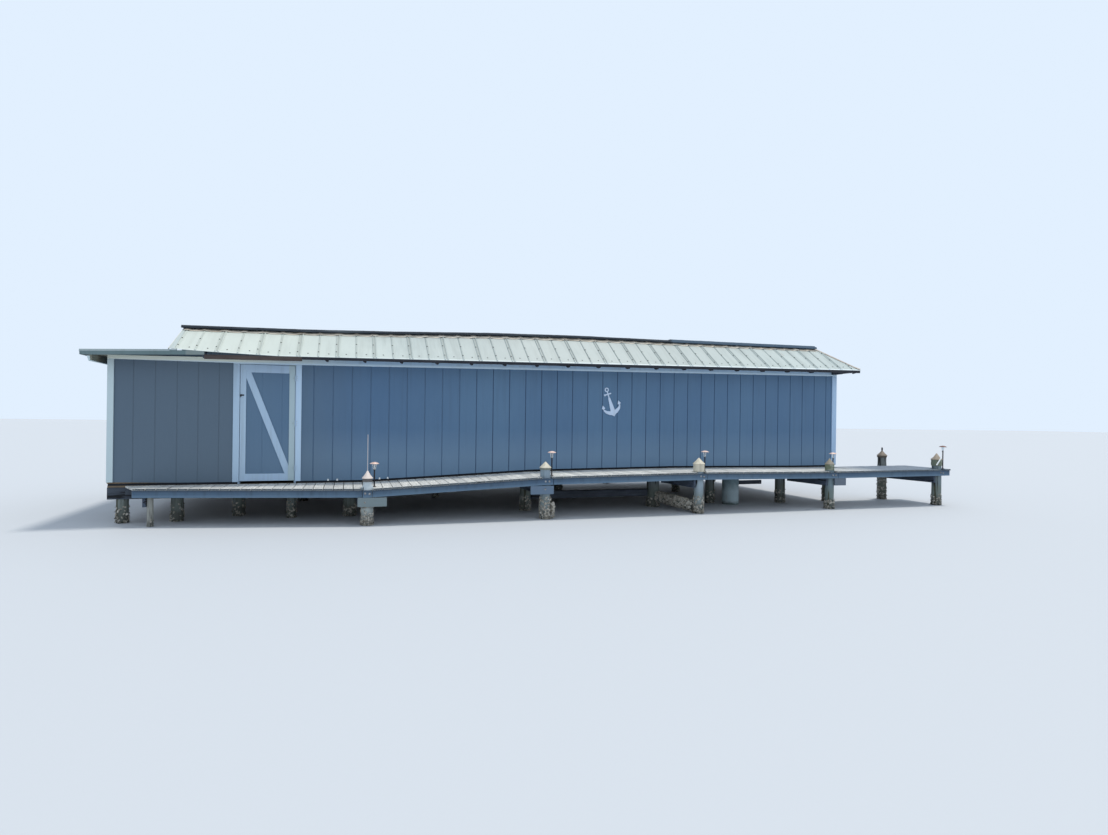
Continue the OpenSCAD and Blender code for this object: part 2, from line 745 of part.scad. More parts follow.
// Piles under the walls and the floor: place along the building and diameter.
row_y = 65;
back_row = depth - row_y;
mid_row = depth / 2;
end_in = 170;
front_piles = [[along(200), 180], [along(950), 190], [along(2630), 150], [along(3550), 220],
    [along(6650), 210], [along(9260), 260], [along(12230), 220], [wall_len - end_in, 160]];
mid_piles = [[along(2660), 200], [along(5290), 120], [along(8000), 280], [along(11000), 200]];
rear_piles = [[along(200), 180], [along(2400), 180], [along(5140), 150], [along(7840), 200],
    [along(10140), 170], [wall_len - end_in, 200]];
floor_piles = [[along(1770), 500], [along(10700), 330]];

module pile_row(piles, y) {
    for (p = piles) translate([p[0], y, 0]) cylinder(d = p[1], h = beam_foot(p[0], p[1] / 2));
}

module inner_piles() {
    color(c_pile) at_origin() {
        pile_row(front_piles, row_y);
        pile_row(mid_piles, mid_row);
        pile_row(rear_piles, back_row);
        for (p = floor_piles) translate([p[0], p[1], 0])
            cylinder(d = pile_d, h = floor_foot(p[0], pile_d / 2));
    }
}

concrete_x = along(11020);
module concrete_pile() {
    color([0.55, 0.56, 0.52]) at_origin() translate([concrete_x, row_y, 0])
        cylinder(d = concrete_d, h = beam_foot(concrete_x, concrete_d / 2));
}

// A low brace between two wall piles, and a short one beside the concrete pile.
low_z = 205;
stub_z = 395;
module low_beams() {
    x0 = front_piles[4][0] + front_piles[4][1] / 2 + seat;
    x1 = front_piles[5][0] - front_piles[5][1] / 2 - seat;
    color(c_raw) at_origin() {
        translate([x0, row_y - 35, low_z]) cube([x1 - x0, 70, 150]);
        translate([concrete_x + concrete_d / 2 + seat, row_y - 30, stub_z]) cube([560, 45, 90]);
    }
}

// A shell covered beam, notched round the wall pile and the fourth outer pile.
shell_z = 20;
shell_h = 215;
shell_w = 180;
module shell_beam() {
    p = front_piles[5];
    a = atan2(-pile_out - row_y, pile_x[3] - p[0]);
    reach = norm([pile_out + row_y, pile_x[3] - p[0]]);
    color(c_pile) at_origin() difference() {
        translate([p[0], row_y, shell_z]) rotate([0, 0, a]) translate([90, -shell_w / 2, 0])
            cube([reach - 150, shell_w, shell_h]);
        translate([p[0], row_y, 0]) cylinder(d = p[1] + 2 * seat, h = 300);
        translate([pile_x[3], -pile_out, 0]) cylinder(d = pile_d + 2 * seat, h = 300);
    }
}

// A flat anchor on the front wall, tilted, its crown at the bottom.
anchor_t = 14;
anchor_tilt = 18.2;
anchor_x = along(8386);
anchor_drop = 749;
ring_v = 530;
stock_v = 442;
anchor_half = [[48, 40], [82, 50], [152, 103], [178, 155], [183, 196], [207, 204], [168, 268],
    [133, 202], [166, 186], [152, 168], [110, 138], [46, 114], [21, 362], [11, 372], [11, 500]];

module anchor() {
    color(c_white) at_origin() translate([anchor_x, 0, head_z - anchor_drop])
        rotate([90, 0, 0]) rotate([0, 0, anchor_tilt]) {
            linear_extrude(anchor_t) difference() {
                union() {
                    polygon([[0, 0], each anchor_half,
                        for (i = [len(anchor_half) - 1:-1:0]) [-anchor_half[i][0], anchor_half[i][1]]]);
                    translate([0, ring_v]) circle(r = 45);
                    translate([-62, stock_v - 15]) square([130, 30]);
                    translate([-66, stock_v]) circle(r = 21);
                }
                translate([0, ring_v]) circle(r = 20);
            }
        }
}

// Pile, place beside it along X and Y, and height of each light.
lights = [[1, 107, 112, 391], [2, 129, 52, 421], [3, 154, 52, 386], [4, 125, 52, 358], [5, 172, 0, 484]];
stem_d = 22;
hood_h = 48;
lens_h = 52;
module light_stems() {
    color(c_roll) at_origin() for (l = lights) {
        x = pile_x[l[0]] + l[1];
        z0 = max(deck_at(x - stem_d / 2), deck_at(x + stem_d / 2));
        z1 = deck_at(x) + l[3] - hood_h - lens_h;
        translate([x, l[2] - pile_out, z0]) cylinder(d = stem_d, h = z1 - z0);
    }
}

module light_lenses() {
    color([0.8, 0.85, 0.85, 0.5]) at_origin() for (l = lights) {
        x = pile_x[l[0]] + l[1];
        translate([x, l[2] - pile_out, deck_at(x) + l[3] - hood_h - lens_h])
            cylinder(d = 56, h = lens_h);
    }
}

module light_caps() {
    color([0.72, 0.48, 0.40]) at_origin() for (l = lights) {
        x = pile_x[l[0]] + l[1];
        translate([x, l[2] - pile_out, deck_at(x) + l[3] - hood_h])
            cylinder(r1 = 73, r2 = 18, h = hood_h);
    }
}

module thin_rod() {
    color(c_white) at_origin() translate([pile_x[1], -pile_out, deck_z0 + cap_gap[1] + cap_rise + seat])
        cylinder(d = 8, h = 560);
}

front_wall_left();
front_wall_right();
wall_over_door();
back_wall();
land_end_wall();
water_end_wall();
upper_end_wall();
sill_plates();
floor();
floor_beams();
top_trim();
corner_trims();
door_casing();
door_jamb();
hinge_fixed();
door_panel();
door_frame_boards();
door_brace();
hinge_moving();
door_latch();
metal_slope_front();
metal_slope_back();
metal_hip_end();
roof_deck();
roof_roll();
rafters();
eave_boards();
low_roof();
low_fascia();
deck_boards();
deck_fascia();
deck_stringers();
cross_beams();
bolsters();
outer_piles();
pile_caps();
inner_piles();
concrete_pile();
low_beams();
shell_beam();
anchor();
light_stems();
light_lenses();
light_caps();
thin_rod();
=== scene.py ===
import random
from math import cos, pi, radians, sin, sqrt, tau
import bmesh
import bpy
from mathutils import Matrix, Vector, noise
from mathutils.bvhtree import BVHTree


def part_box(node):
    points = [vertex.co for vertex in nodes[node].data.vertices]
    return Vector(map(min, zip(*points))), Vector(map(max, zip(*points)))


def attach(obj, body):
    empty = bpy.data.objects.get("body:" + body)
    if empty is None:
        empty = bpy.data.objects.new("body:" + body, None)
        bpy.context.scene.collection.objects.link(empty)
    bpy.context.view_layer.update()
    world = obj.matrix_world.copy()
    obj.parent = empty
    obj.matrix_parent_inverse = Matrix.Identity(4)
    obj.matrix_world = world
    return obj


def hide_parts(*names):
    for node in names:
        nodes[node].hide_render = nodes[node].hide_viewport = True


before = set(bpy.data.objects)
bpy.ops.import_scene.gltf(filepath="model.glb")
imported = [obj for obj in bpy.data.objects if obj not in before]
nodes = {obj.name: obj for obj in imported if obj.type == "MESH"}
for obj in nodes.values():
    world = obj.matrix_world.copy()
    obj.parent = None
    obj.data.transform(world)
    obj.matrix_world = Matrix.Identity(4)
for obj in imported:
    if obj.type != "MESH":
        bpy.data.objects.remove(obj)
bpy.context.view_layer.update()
print("frame loaded:", len(nodes), "nodes")

# Places are given from the land corner of the front wall: x along it, y inward, z up, in metres.
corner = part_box("front_wall_left")[0]
home = Vector((corner.x, corner.y, 0))
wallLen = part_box("front_wall_right")[1].x - home.x
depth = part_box("back_wall")[1].y - home.y
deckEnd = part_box("deck_boards")[1].x - home.x

# ---- camera and studio ----
camera = {"place": (3.545, -11.394, 1.65), "turn": 17.65, "lens": 20.794, "roll": 0.0125, "shiftY": 0.0036,
          "sensor": 36, "sees": 300}
studio = {"floor": (0.47, 0.49, 0.52), "floorRough": 0.8, "floorHalf": 300, "sky": (0.76, 0.87, 1.0),
          "skyPower": 1.0, "sun": (1.0, 0.96, 0.88), "sunPower": 2.3, "sunTurn": (-3.5, 14, 0), "sunSize": 8}


def toScene(name, data):
    obj = bpy.data.objects.new(name, data)
    bpy.context.scene.collection.objects.link(obj)
    return obj


camData = bpy.data.cameras.new("viewCamera")
camData.lens, camData.sensor_width = camera["lens"], camera["sensor"]
camData.shift_y, camData.clip_end = camera["shiftY"], camera["sees"]
cam = toScene("viewCamera", camData)
bpy.context.scene.camera = cam
cam.location = home + Vector(camera["place"])
cam.rotation_euler = (Matrix.Rotation(-radians(camera["turn"]), 3, "Z") @ Matrix.Rotation(radians(90), 3, "X")
    @ Matrix.Rotation(camera["roll"], 3, "Z")).to_euler()

floorMat = bpy.data.materials.new("paleFloor")
floorMat.use_nodes = True
floorInputs = floorMat.node_tree.nodes["Principled BSDF"].inputs
floorInputs["Base Color"].default_value = (*studio["floor"], 1)
floorInputs["Roughness"].default_value = studio["floorRough"]
floorMesh = bpy.data.meshes.new("paleFloor")
far = studio["floorHalf"]
floorMesh.from_pydata([(-far, -far, 0), (far, -far, 0), (far, far, 0), (-far, far, 0)], [], [(0, 1, 2, 3)])
floorMesh.materials.append(floorMat)
floor = toScene("paleFloor", floorMesh)

sky = bpy.data.worlds.new("softSky")
bpy.context.scene.world = sky
sky.use_nodes = True
sky.node_tree.nodes["Background"].inputs[0].default_value = (*studio["sky"], 1)
sky.node_tree.nodes["Background"].inputs[1].default_value = studio["skyPower"]
sunData = bpy.data.lights.new("softSun", "SUN")
sunData.energy, sunData.angle, sunData.color = studio["sunPower"], radians(studio["sunSize"]), studio["sun"]
toScene("softSun", sunData).rotation_euler = [radians(v) for v in studio["sunTurn"]]
bpy.context.scene.view_settings.view_transform = "Standard"
print("camera and studio set")


# ---- lines of the building, repeated from the part ----
def alongTable(x, table):
    if x <= table[0][0]:
        return table[0][1]
    for (x0, v0), (x1, v1) in zip(table, table[1:]):
        if x <= x1:
            return v0 + (v1 - v0) * (x - x0) / (x1 - x0)
    return table[-1][1]


rise = 0.016
deckLine = [(-0.275, 0.578), (3.81, 0.578), (6.71, 0.722), (9.655, 0.762), (12.575, 0.745), (15.53, 0.758)]
humpLine = [(0.92, 0), (2.8, 0), (4.3, 0.3), (6, 0.85), (7.7, 1), (9.6, 0.75), (12, 0.5), (13.57, 0.35)]
liftLine = [(0.92, 0.075), (1.4, 0.045), (2.4, 0), (13.57, 0)]
outerPiles = [(0.70, -0.4233)] + [(x, -1.002) for x in (3.81, 6.71, 9.655, 12.575, 15.31)]
backPile = (wallLen + 1.395, 0.1003)
roofX0, hipX, hipTop = 0.92, 13.975, 13.415
eaveOut, slopeIn = 0.3, 0.45
sides = (0, 1)  # front and back


def deckAt(x):
    return alongTable(x, deckLine)


def eaveAt(x):
    return 2.605 + rise * x + alongTable(x, liftLine)


def topAt(x):
    return 3.083 + rise * x + 0.075 * alongTable(x, humpLine)


def lowAt(x):
    return 2.628 + 0.042 * x


def slopeAt(x, y):
    return eaveAt(x) + (topAt(x) - eaveAt(x)) * (y + eaveOut) / (slopeIn + eaveOut)


def sideY(y, side):
    return depth - y if side else y


# ---- shapes ----
def newShape():
    return {"verts": [], "faces": [], "mats": []}


def addMesh(shape, verts, faces, mat=0):
    base = len(shape["verts"])
    shape["verts"].extend(tuple(v) for v in verts)
    shape["faces"].extend(tuple(base + i for i in f) for f in faces)
    shape["mats"].extend(mat if isinstance(mat, list) else [mat] * len(faces))


def addPrism(shape, outline, low, high, place=lambda a, b, c: (a, b, c), mat=0):
    n = len(outline)
    verts = [place(a, b, low) for a, b in outline] + [place(a, b, high) for a, b in outline]
    faces = [tuple(range(n)), tuple(range(2 * n - 1, n - 1, -1))]
    faces += [(i, (i + 1) % n, n + (i + 1) % n, n + i) for i in range(n)]
    addMesh(shape, verts, faces, mat)


def addBlock(shape, lo, hi):
    addPrism(shape, [(lo[0], lo[1]), (hi[0], lo[1]), (hi[0], hi[1]), (lo[0], hi[1])], lo[2], hi[2])


def onFront(a, b, c):  # outline in x and z, third value inward
    return (a, c, b)


def atEnds(value):
    return value if isinstance(value, tuple) else (value, value)


# A bar along a line of the building, from low to high past it; either may differ at the bar's ends.
def addSloped(shape, x0, x1, line, low, high, y0, y1):
    (a, b), (c, d) = atEnds(low), atEnds(high)
    z0, z1 = line(x0), line(x1)
    addPrism(shape, [(x0, z0 + a), (x1, z1 + b), (x1, z1 + d), (x0, z0 + c)], y0, y1, onFront)


def addStrip(shape, verts, mat=0):  # verts in fours, each four a section
    last = len(verts) - 4
    faces = [(0, 1, 2, 3), tuple(last + k for k in (3, 2, 1, 0))]
    for i in range(0, last, 4):
        faces += [(i + a, i + b, i + 4 + b, i + 4 + a) for a, b in ((0, 1), (1, 2), (2, 3), (3, 0))]
    addMesh(shape, verts, faces, mat)


def addLoft(shape, rings, mat=0, looped=False):
    n, m = len(rings[0]), len(rings)
    faces = []
    for k in range(m if looped else m - 1):
        for i in range(n):
            j, kk = (i + 1) % n, (k + 1) % m
            faces.append((k * n + i, k * n + j, kk * n + j, kk * n + i))
    if not looped:
        faces += [tuple(range(n - 1, -1, -1)), tuple((m - 1) * n + i for i in range(n))]
    addMesh(shape, [p for r in rings for p in r], faces, mat)


def circle(count, turn=0.0):
    return [(cos(tau * (i + turn) / count), sin(tau * (i + turn) / count)) for i in range(count)]


def addLathe(shape, profile, count, place, mat=0):
    verts, rows, faces = [], [], []
    for r, z in profile:
        if r < 1e-6:
            rows.append([len(verts)] * count)
            verts.append(place @ Vector((0, 0, z)))
        else:
            rows.append([len(verts) + i for i in range(count)])
            verts += [place @ Vector((r * cx, r * cy, z)) for cx, cy in circle(count)]
    for a, b in zip(rows, rows[1:]):
        for i in range(count):
            j = (i + 1) % count
            face = [a[i], a[j], b[j], b[i]]
            face = [v for k, v in enumerate(face) if v not in face[:k]]
            if len(face) > 2:
                faces.append(tuple(face))
    if profile[0][0] > 1e-6:
        faces.append(tuple(reversed(rows[0])))
    if profile[-1][0] > 1e-6:
        faces.append(tuple(rows[-1]))
    addMesh(shape, verts, faces, mat)


def standAt(point, normal=(0, 0, 1), turn=0.0):
    up = Vector(normal).normalized()
    side = up.orthogonal().normalized()
    m = Matrix((side, up.cross(side), up)).transposed().to_4x4()
    m.translation = Vector(point)
    return m @ Matrix.Rotation(turn, 4, "Z")


def bumps(x, y, z):
    return noise.noise(Vector((x, y, z)))


def soften(obj, width, steps=2):
    edge = obj.modifiers.new("softEdge", "BEVEL")
    edge.width, edge.segments, edge.limit_method, edge.angle_limit = width, steps, "ANGLE", radians(40)


def makePiece(name, shape, finish, stands=(), body="building", smooth=None, round=0.0, steps=2):
    mesh = bpy.data.meshes.new(name)
    mesh.from_pydata([(x + home.x, y + home.y, z) for x, y, z in shape["verts"]], [], shape["faces"])
    for m in finish.split():
        mesh.materials.append(bpy.data.materials[m])
    mesh.polygons.foreach_set("material_index", shape["mats"])
    bm = bmesh.new()
    bm.from_mesh(mesh)
    bmesh.ops.recalc_face_normals(bm, faces=bm.faces)
    bm.to_mesh(mesh)
    bm.free()
    if smooth is not None:
        mesh.shade_smooth()
        mesh.set_sharp_from_angle(angle=radians(smooth))
    obj = toScene(name, mesh)
    if round:
        soften(obj, round, steps)
    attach(obj, body)
    if stands:
        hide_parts(*stands)


def dressNodes(names, finish, round=0.0):
    for name in names.split():
        for s in nodes[name].material_slots:
            s.material = bpy.data.materials[finish]
        if round:
            nodes[name].modifiers.new("oneSkin", "WELD").merge_threshold = 0.00002
            soften(nodes[name], round)


# ---- finishes: node groups that several of them share ----
def tint(tone):  # a tone in hexadecimal, taken to linear light
    parts = [int(tone[i:i + 2], 16) for i in (0, 2, 4)]
    return tuple(((c / 255 + 0.055) / 1.055) ** 2.4 if c > 10 else c / 255 / 12.92 for c in parts)


def join(tree, value, socket):
    if isinstance(value, bpy.types.NodeSocket):
        tree.links.new(value, socket)
    else:
        socket.default_value = (*tint(value), 1) if isinstance(value, str) else value


def addNode(tree, kind, inputs=None, **settings):
    node = tree.nodes.new("ShaderNode" + kind)
    for key, value in settings.items():
        setattr(node, key, value)
    for key, value in (inputs or {}).items():
        join(tree, value, node.inputs[key])
    return node


def newGroup(name, outputs, **inputs):  # its first input is the place
    tree = bpy.data.node_groups.new(name, "ShaderNodeTree")
    for label, value in {"Vector": None, **inputs}.items():
        kind = "Float" if isinstance(value, float) else "Vector"
        socket = tree.interface.new_socket(name=label, in_out="INPUT", socket_type="NodeSocket" + kind)
        if value is not None:
            socket.default_value = value
    for label in outputs:
        tree.interface.new_socket(name=label, in_out="OUTPUT", socket_type="NodeSocketFloat")
    return tree, tree.nodes.new("NodeGroupInput").outputs, tree.nodes.new("NodeGroupOutput").inputs


def spread(tree, value, low, high, toLow=0.0, toHigh=1.0):
    return addNode(tree, "MapRange", {0: value, 1: low, 2: high, 3: toLow, 4: toHigh}).outputs[0]


def sums(tree, how, a, b=0.0):
    return addNode(tree, "Math", {0: a, 1: b}, operation=how).outputs[0]


def vectors(tree, how, a, b=None):
    return addNode(tree, "VectorMath", {0: a} if b is None else {0: a, 1: b}, operation=how).outputs[0]


def split(tree, where):
    return addNode(tree, "SeparateXYZ", {0: where}).outputs


# Soft patches, stretched as asked: dirt, fading, damp.
patches, pIn, pOut = newGroup("weatherPatches", ["Mask"], Stretch=(1, 1, 1), Scale=2.0, Low=0.4, High=0.6)
pNoise = addNode(patches, "TexNoise", {"Vector": vectors(patches, "MULTIPLY", pIn["Vector"], pIn["Stretch"]),
    "Scale": pIn["Scale"], "Detail": 5.0, "Roughness": 0.62})
join(patches, spread(patches, pNoise.outputs[0], pIn["Low"], pIn["High"]), pOut["Mask"])

# Grain of timber with open cracks along it.
grain, gIn, gOut = newGroup("timberGrain", ["Height", "Cracks", "Lines"], Stretch=(60, 60, 3), Cracks=0.66)
gVector = vectors(grain, "MULTIPLY", gIn["Vector"], gIn["Stretch"])
gFine = addNode(grain, "TexNoise", {"Vector": gVector, "Scale": 1.0, "Detail": 6.0, "Roughness": 0.7})
gWide = addNode(grain, "TexNoise", {"Vector": gVector, "Scale": 0.34, "Detail": 3.0, "Distortion": 0.4})
gCrack = spread(grain, gWide.outputs[0], gIn["Cracks"], sums(grain, "ADD", gIn["Cracks"], 0.035))
join(grain, gCrack, gOut["Cracks"])
join(grain, spread(grain, gFine.outputs[0], 0.35, 0.68), gOut["Lines"])
join(grain, sums(grain, "SUBTRACT", gFine.outputs[0], gCrack), gOut["Height"])

# One tone for each board, by its place.
tones, tIn, tOut = newGroup("boardTones", ["Tone"], Pitch=(0.3, 10, 10), Start=(0, 0, 0))
tCell = vectors(tones, "DIVIDE", vectors(tones, "SUBTRACT", tIn["Vector"], tIn["Start"]), tIn["Pitch"])
tNoise = addNode(tones, "TexWhiteNoise", {"Vector": vectors(tones, "FLOOR", tCell)})
join(tones, tNoise.outputs[0], tOut["Tone"])

# Mask that is 1 below a height, with a ragged edge: tide line, splash, dirt from below.
tide, dIn, dOut = newGroup("raggedLevel", ["Below"], Level=0.3, Soft=0.05, Ragged=0.1, Scale=9.0)
dNoise = addNode(tide, "TexNoise", {"Vector": dIn["Vector"], "Scale": dIn["Scale"], "Detail": 4.0})
dLift = sums(tide, "MULTIPLY", sums(tide, "SUBTRACT", dNoise.outputs[0], 0.5), dIn["Ragged"])
dHeight = sums(tide, "ADD", split(tide, dIn["Vector"])[2], dLift)
dLow, dHigh = [sums(tide, how, dIn["Level"], dIn["Soft"]) for how in ("SUBTRACT", "ADD")]
join(tide, spread(tide, dHeight, dLow, dHigh, 1.0, 0.0), dOut["Below"])

# Small pits and specks.
specks, sIn, sOut = newGroup("fineSpecks", ["Mask", "Height"], Scale=120.0, Size=0.25)
sCells = addNode(specks, "TexVoronoi", {"Vector": sIn["Vector"], "Scale": sIn["Scale"], "Randomness": 1.0})
join(specks, spread(specks, sCells.outputs[0], 0.0, sIn["Size"], 1.0, 0.0), sOut["Mask"])
join(specks, sCells.outputs[0], sOut["Height"])

# How far a point lies under the bent line of the deck.
fall, fIn, fOut = newGroup("underDeckLine", ["Under"])
fParts = split(fall, fIn["Vector"])
fDeck = deckLine[0][1]
for (x0, z0), (x1, z1) in zip(deckLine[1:], deckLine[2:]):
    fDeck = sums(fall, "ADD", spread(fall, fParts[0], home.x + x0, home.x + x1, 0.0, z1 - z0), fDeck)
join(fall, sums(fall, "SUBTRACT", fDeck, fParts[2]), fOut["Under"])


def placed(tree, group, where, **inputs):
    node = tree.nodes.new("ShaderNodeGroup")
    node.node_tree = group
    for key, value in {"Vector": where, **inputs}.items():
        join(tree, value, node.inputs[key])
    return node.outputs


def patchMask(tree, where, scale, low, high, stretch=(1, 1, 1)):
    return placed(tree, patches, where, Stretch=stretch, Scale=scale, Low=low, High=high)["Mask"]


def belowMask(tree, where, level, soft, ragged, scale):
    return placed(tree, tide, where, Level=level, Soft=soft, Ragged=ragged, Scale=scale)["Below"]


def newFinish(name, rough=0.6, metal=0.0, level=0.4):
    mat = bpy.data.materials.new(name)
    mat.use_nodes = True
    tree = mat.node_tree
    shader = tree.nodes["Principled BSDF"].inputs
    shader["Roughness"].default_value = rough
    shader["Metallic"].default_value = metal
    shader["Specular IOR Level"].default_value = level
    return tree, shader, addNode(tree, "TexCoord").outputs["Object"]


def mixed(tree, share, a, b, how="MIX"):
    node = addNode(tree, "Mix", data_type="RGBA", blend_type=how)
    for index, value in ((0, share), (6, a), (7, b)):
        join(tree, value, node.inputs[index])
    return node.outputs[2]


def washed(tree, colour, mask, share, tone):  # a share of another tone where the mask is
    return mixed(tree, sums(tree, "MULTIPLY", mask, share), colour, tone)


def bumped(tree, shader, height, strength, distance):
    node = addNode(tree, "Bump", {"Height": height, "Strength": strength, "Distance": distance})
    join(tree, node.outputs[0], shader["Normal"])


def byPlace(tree, colour, where, zones):  # other tones over stretches along the building
    for x0, x1, soft, tone, share in zones:
        along = split(tree, where)[0]
        start = spread(tree, along, home.x + x0 - soft, home.x + x0 + soft, 0.0, share)
        stop = spread(tree, along, home.x + x1 - soft, home.x + x1 + soft, 1.0, 0.0)
        colour = mixed(tree, sums(tree, "MULTIPLY", start, stop), colour, tone)
    return colour


def byBoard(tree, colour, where, look):  # boards differ a little
    if "pitch" in look:
        board = placed(tree, tones, where, Pitch=look["pitch"], Start=look["start"])
        colour = washed(tree, colour, board["Tone"], look["vary"], look["other"])
    return colour


# Painted boards: paint over grain, faded patches and runs of dirt. Tones: paint, faded, dirt, bare.
def paintedBoards(name, look):
    look = {"patch": 0.8, "bump": 0.25, "vary": 0.35, "zones": (), "under": (), **look}
    paint, faded, dirt, bare = look["tones"].split()
    rough = look["rough"]
    tree, shader, where = newFinish(name, rough)
    lines = placed(tree, grain, where, Stretch=look["grain"], Cracks=0.72)
    colour = mixed(tree, patchMask(tree, where, look["patch"], 0.35, 0.7, (1, 1, 0.5)), paint, faded)
    colour = byBoard(tree, colour, where, look)
    colour = washed(tree, colour, patchMask(tree, where, 1.0, 0.5, 0.78, (14, 14, 0.6)), look["runs"], dirt)
    if "foot" in look:  # painted light: brighter low down, for light thrown up from below
        colour = washed(tree, colour, belowMask(tree, where, 1.25, 0.25, 0.10, 3.0), 0.8, look["foot"])
    if "landSide" in look:  # the siding's paint is greyer towards the land corner; on the long trim the paler tone there is painted light, brightening what the low roof shades
        side = spread(tree, split(tree, where)[0], home.x + 1.8, home.x + 3.8, 0.9, 0.0)
        colour = mixed(tree, side, colour, look["landSide"])
    if "hem" in look:  # more light reaches the lower edge, along the building's rise
        z0, z1, tone = look["hem"]
        risen = sums(tree, "MULTIPLY", split(tree, where)[0], rise)
        over = sums(tree, "SUBTRACT", split(tree, where)[2], risen)
        colour = mixed(tree, spread(tree, over, z0 - rise * home.x, z1 - rise * home.x, 1.0, 0.0), colour, tone)
    colour = byPlace(tree, colour, where, look["zones"])
    for u0, u1, share0, share1, tone in look["under"]:  # painted shade just under the deck's nosing, painted light lower down, by the height under the deck's line
        below = placed(tree, fall, where)["Under"]
        colour = mixed(tree, spread(tree, below, u0, u1, share0, share1), colour, tone)
    colour = mixed(tree, patchMask(tree, where, 0.16, look["worn"], 0.8, look["grain"]), colour, bare)
    join(tree, colour, shader["Base Color"])
    join(tree, spread(tree, lines["Lines"], 0, 1, rough - 0.06, rough + 0.12), shader["Roughness"])
    bumped(tree, shader, lines["Height"], look["bump"], 0.002)


upGrain, alongGrain, fineAlong = (60, 60, 3), (3, 60, 60), (2.5, 60, 60)
# the siding's foot tone is painted light: brighter low on the wall
sidingLook = {"tones": "4d6d8d 567693 3a4c5c 60686c", "other": "476586", "pitch": (1.2192, 20, 20),
    "start": (home.x + 2.96, -5, -5), "grain": (70, 70, 2.2), "rough": 0.45, "bump": 0.18, "worn": 0.79,
    "runs": 0.18, "landSide": "566674", "foot": "68839c"}
paints = {
    "sidingPaint": sidingLook,
    "doorPaint": {**sidingLook, "landSide": "58728a"},
    # paler groove finish: painted shade in the shallow grooves
    "paleGrooveShade": {**sidingLook, "tones": "4c667e 526c84 3a4c5c 60686c", "other": "48627c",
        "landSide": "52616e", "foot": "647c92"},
    # painted shade in the grooves, lighter over one stretch where they show fainter
    "grooveShade": {"tones": "2e4564 344c6a 263446 465058", "grain": (70, 70, 2.2), "rough": 0.5, "bump": 0.15,
        "worn": 0.8, "runs": 0.2, "zones": [(2.0, 5.6, 0.25, "587490", 0.75)]},
    # its cream tone by the land corner is painted light, brightening what the low roof shades
    "trimPaint": {"tones": "a2bad4 aec4d6 707674 8c806c", "grain": upGrain, "rough": 0.5, "worn": 0.72,
        "runs": 0.3, "zones": [(-1, 0.3, 0.02, "c8d6d4", 0.75), (13, 15, 0.02, "a8c4e2", 0.6),
            (2.575, 2.670, 0.003, "aabcbe", 0.8), (2.690, 2.80, 0.003, "bcd4ea", 0.7)]},
    # its land side tone is painted light, paler where the low roof's shadow falls
    "trimLongPaint": {"tones": "a6c4e2 b2cce4 6e6c60 8c7e68", "grain": alongGrain, "rough": 0.5, "worn": 0.72,
        "runs": 0.25, "landSide": "ecf0e0", "hem": (2.500, 2.535, "cee4f4")},
    # its under bands: painted shade below the deck's nosing, painted light towards the foot
    "fasciaPaint": {"tones": "425a72 50677a 283238 787c78", "grain": fineAlong, "rough": 0.55, "worn": 0.7,
        "runs": 0.45, "bump": 0.35,
        "under": [(0.030, 0.070, 0.65, 0.0, "222c3a"), (0.085, 0.130, 0.0, 0.6, "688298")]},
    "bolsterPaint": {"tones": "4a627e 5c728a 2c363e 787a74", "grain": fineAlong, "rough": 0.55, "worn": 0.68,
        "runs": 0.4, "bump": 0.35,
        "zones": [(3, 5, 0.05, "7c8888", 0.85), (6, 7.5, 0.05, "66788a", 0.8), (12, 14, 0.05, "686e74", 0.7)]},
    "dripPaint": {"tones": "96a4a6 a6b2b2 686e68 807668", "grain": fineAlong, "rough": 0.45, "worn": 0.72,
        "runs": 0.4, "bump": 0.15},
    "lowFasciaPaint": {"tones": "607578 6a7d80 424c4a 707670", "grain": fineAlong, "rough": 0.55, "worn": 0.72,
        "runs": 0.4, "bump": 0.3, "zones": [(1.12, 1.5, 0.01, "8c9490", 0.6)]},
    "anchorPaint": {"tones": "bed0e8 cad8ea 807c74 70543e", "grain": (25, 25, 25), "rough": 0.5, "worn": 0.76,
        "runs": 0.3, "bump": 0.2},
    # a darker copy of the caps' finish: painted shade on the skirts under the brims, over their own tones
    "capSkirtShaded": {"tones": "686e68 969688 383a34 c4c0b4", "grain": (20, 20, 20), "rough": 0.65, "patch": 8.0,
        "worn": 0.66, "runs": 0.6,
        "zones": [(3, 5, 0.1, "5c5458", 0.7), (12, 14, 0.1, "606c50", 0.7),
            (14.2, 15.05, 0.05, "5e4c3e", 0.75), (15.1, 16, 0.05, "707a62", 0.6)]},
    "capWhite": {"tones": "dad0bc c4beac 5c5648 807664", "grain": (18, 18, 18), "rough": 0.5, "patch": 6.0,
        "worn": 0.7, "runs": 0.6, "bump": 0.2,
        "zones": [(3, 5, 0.1, "dececc", 0.6), (12, 13.9, 0.1, "787062", 0.8),
            (14.2, 15.05, 0.05, "68584c", 0.85), (15.1, 16, 0.05, "867668", 0.8)]},
    "clipWhite": {"tones": "f2f2ee e6e8e8 b4b2a8 c8c4ba", "grain": (30, 30, 30), "rough": 0.45, "patch": 20.0,
        "worn": 0.8, "runs": 0.2, "bump": 0.1},
}
for name, look in paints.items():
    paintedBoards(name, look)


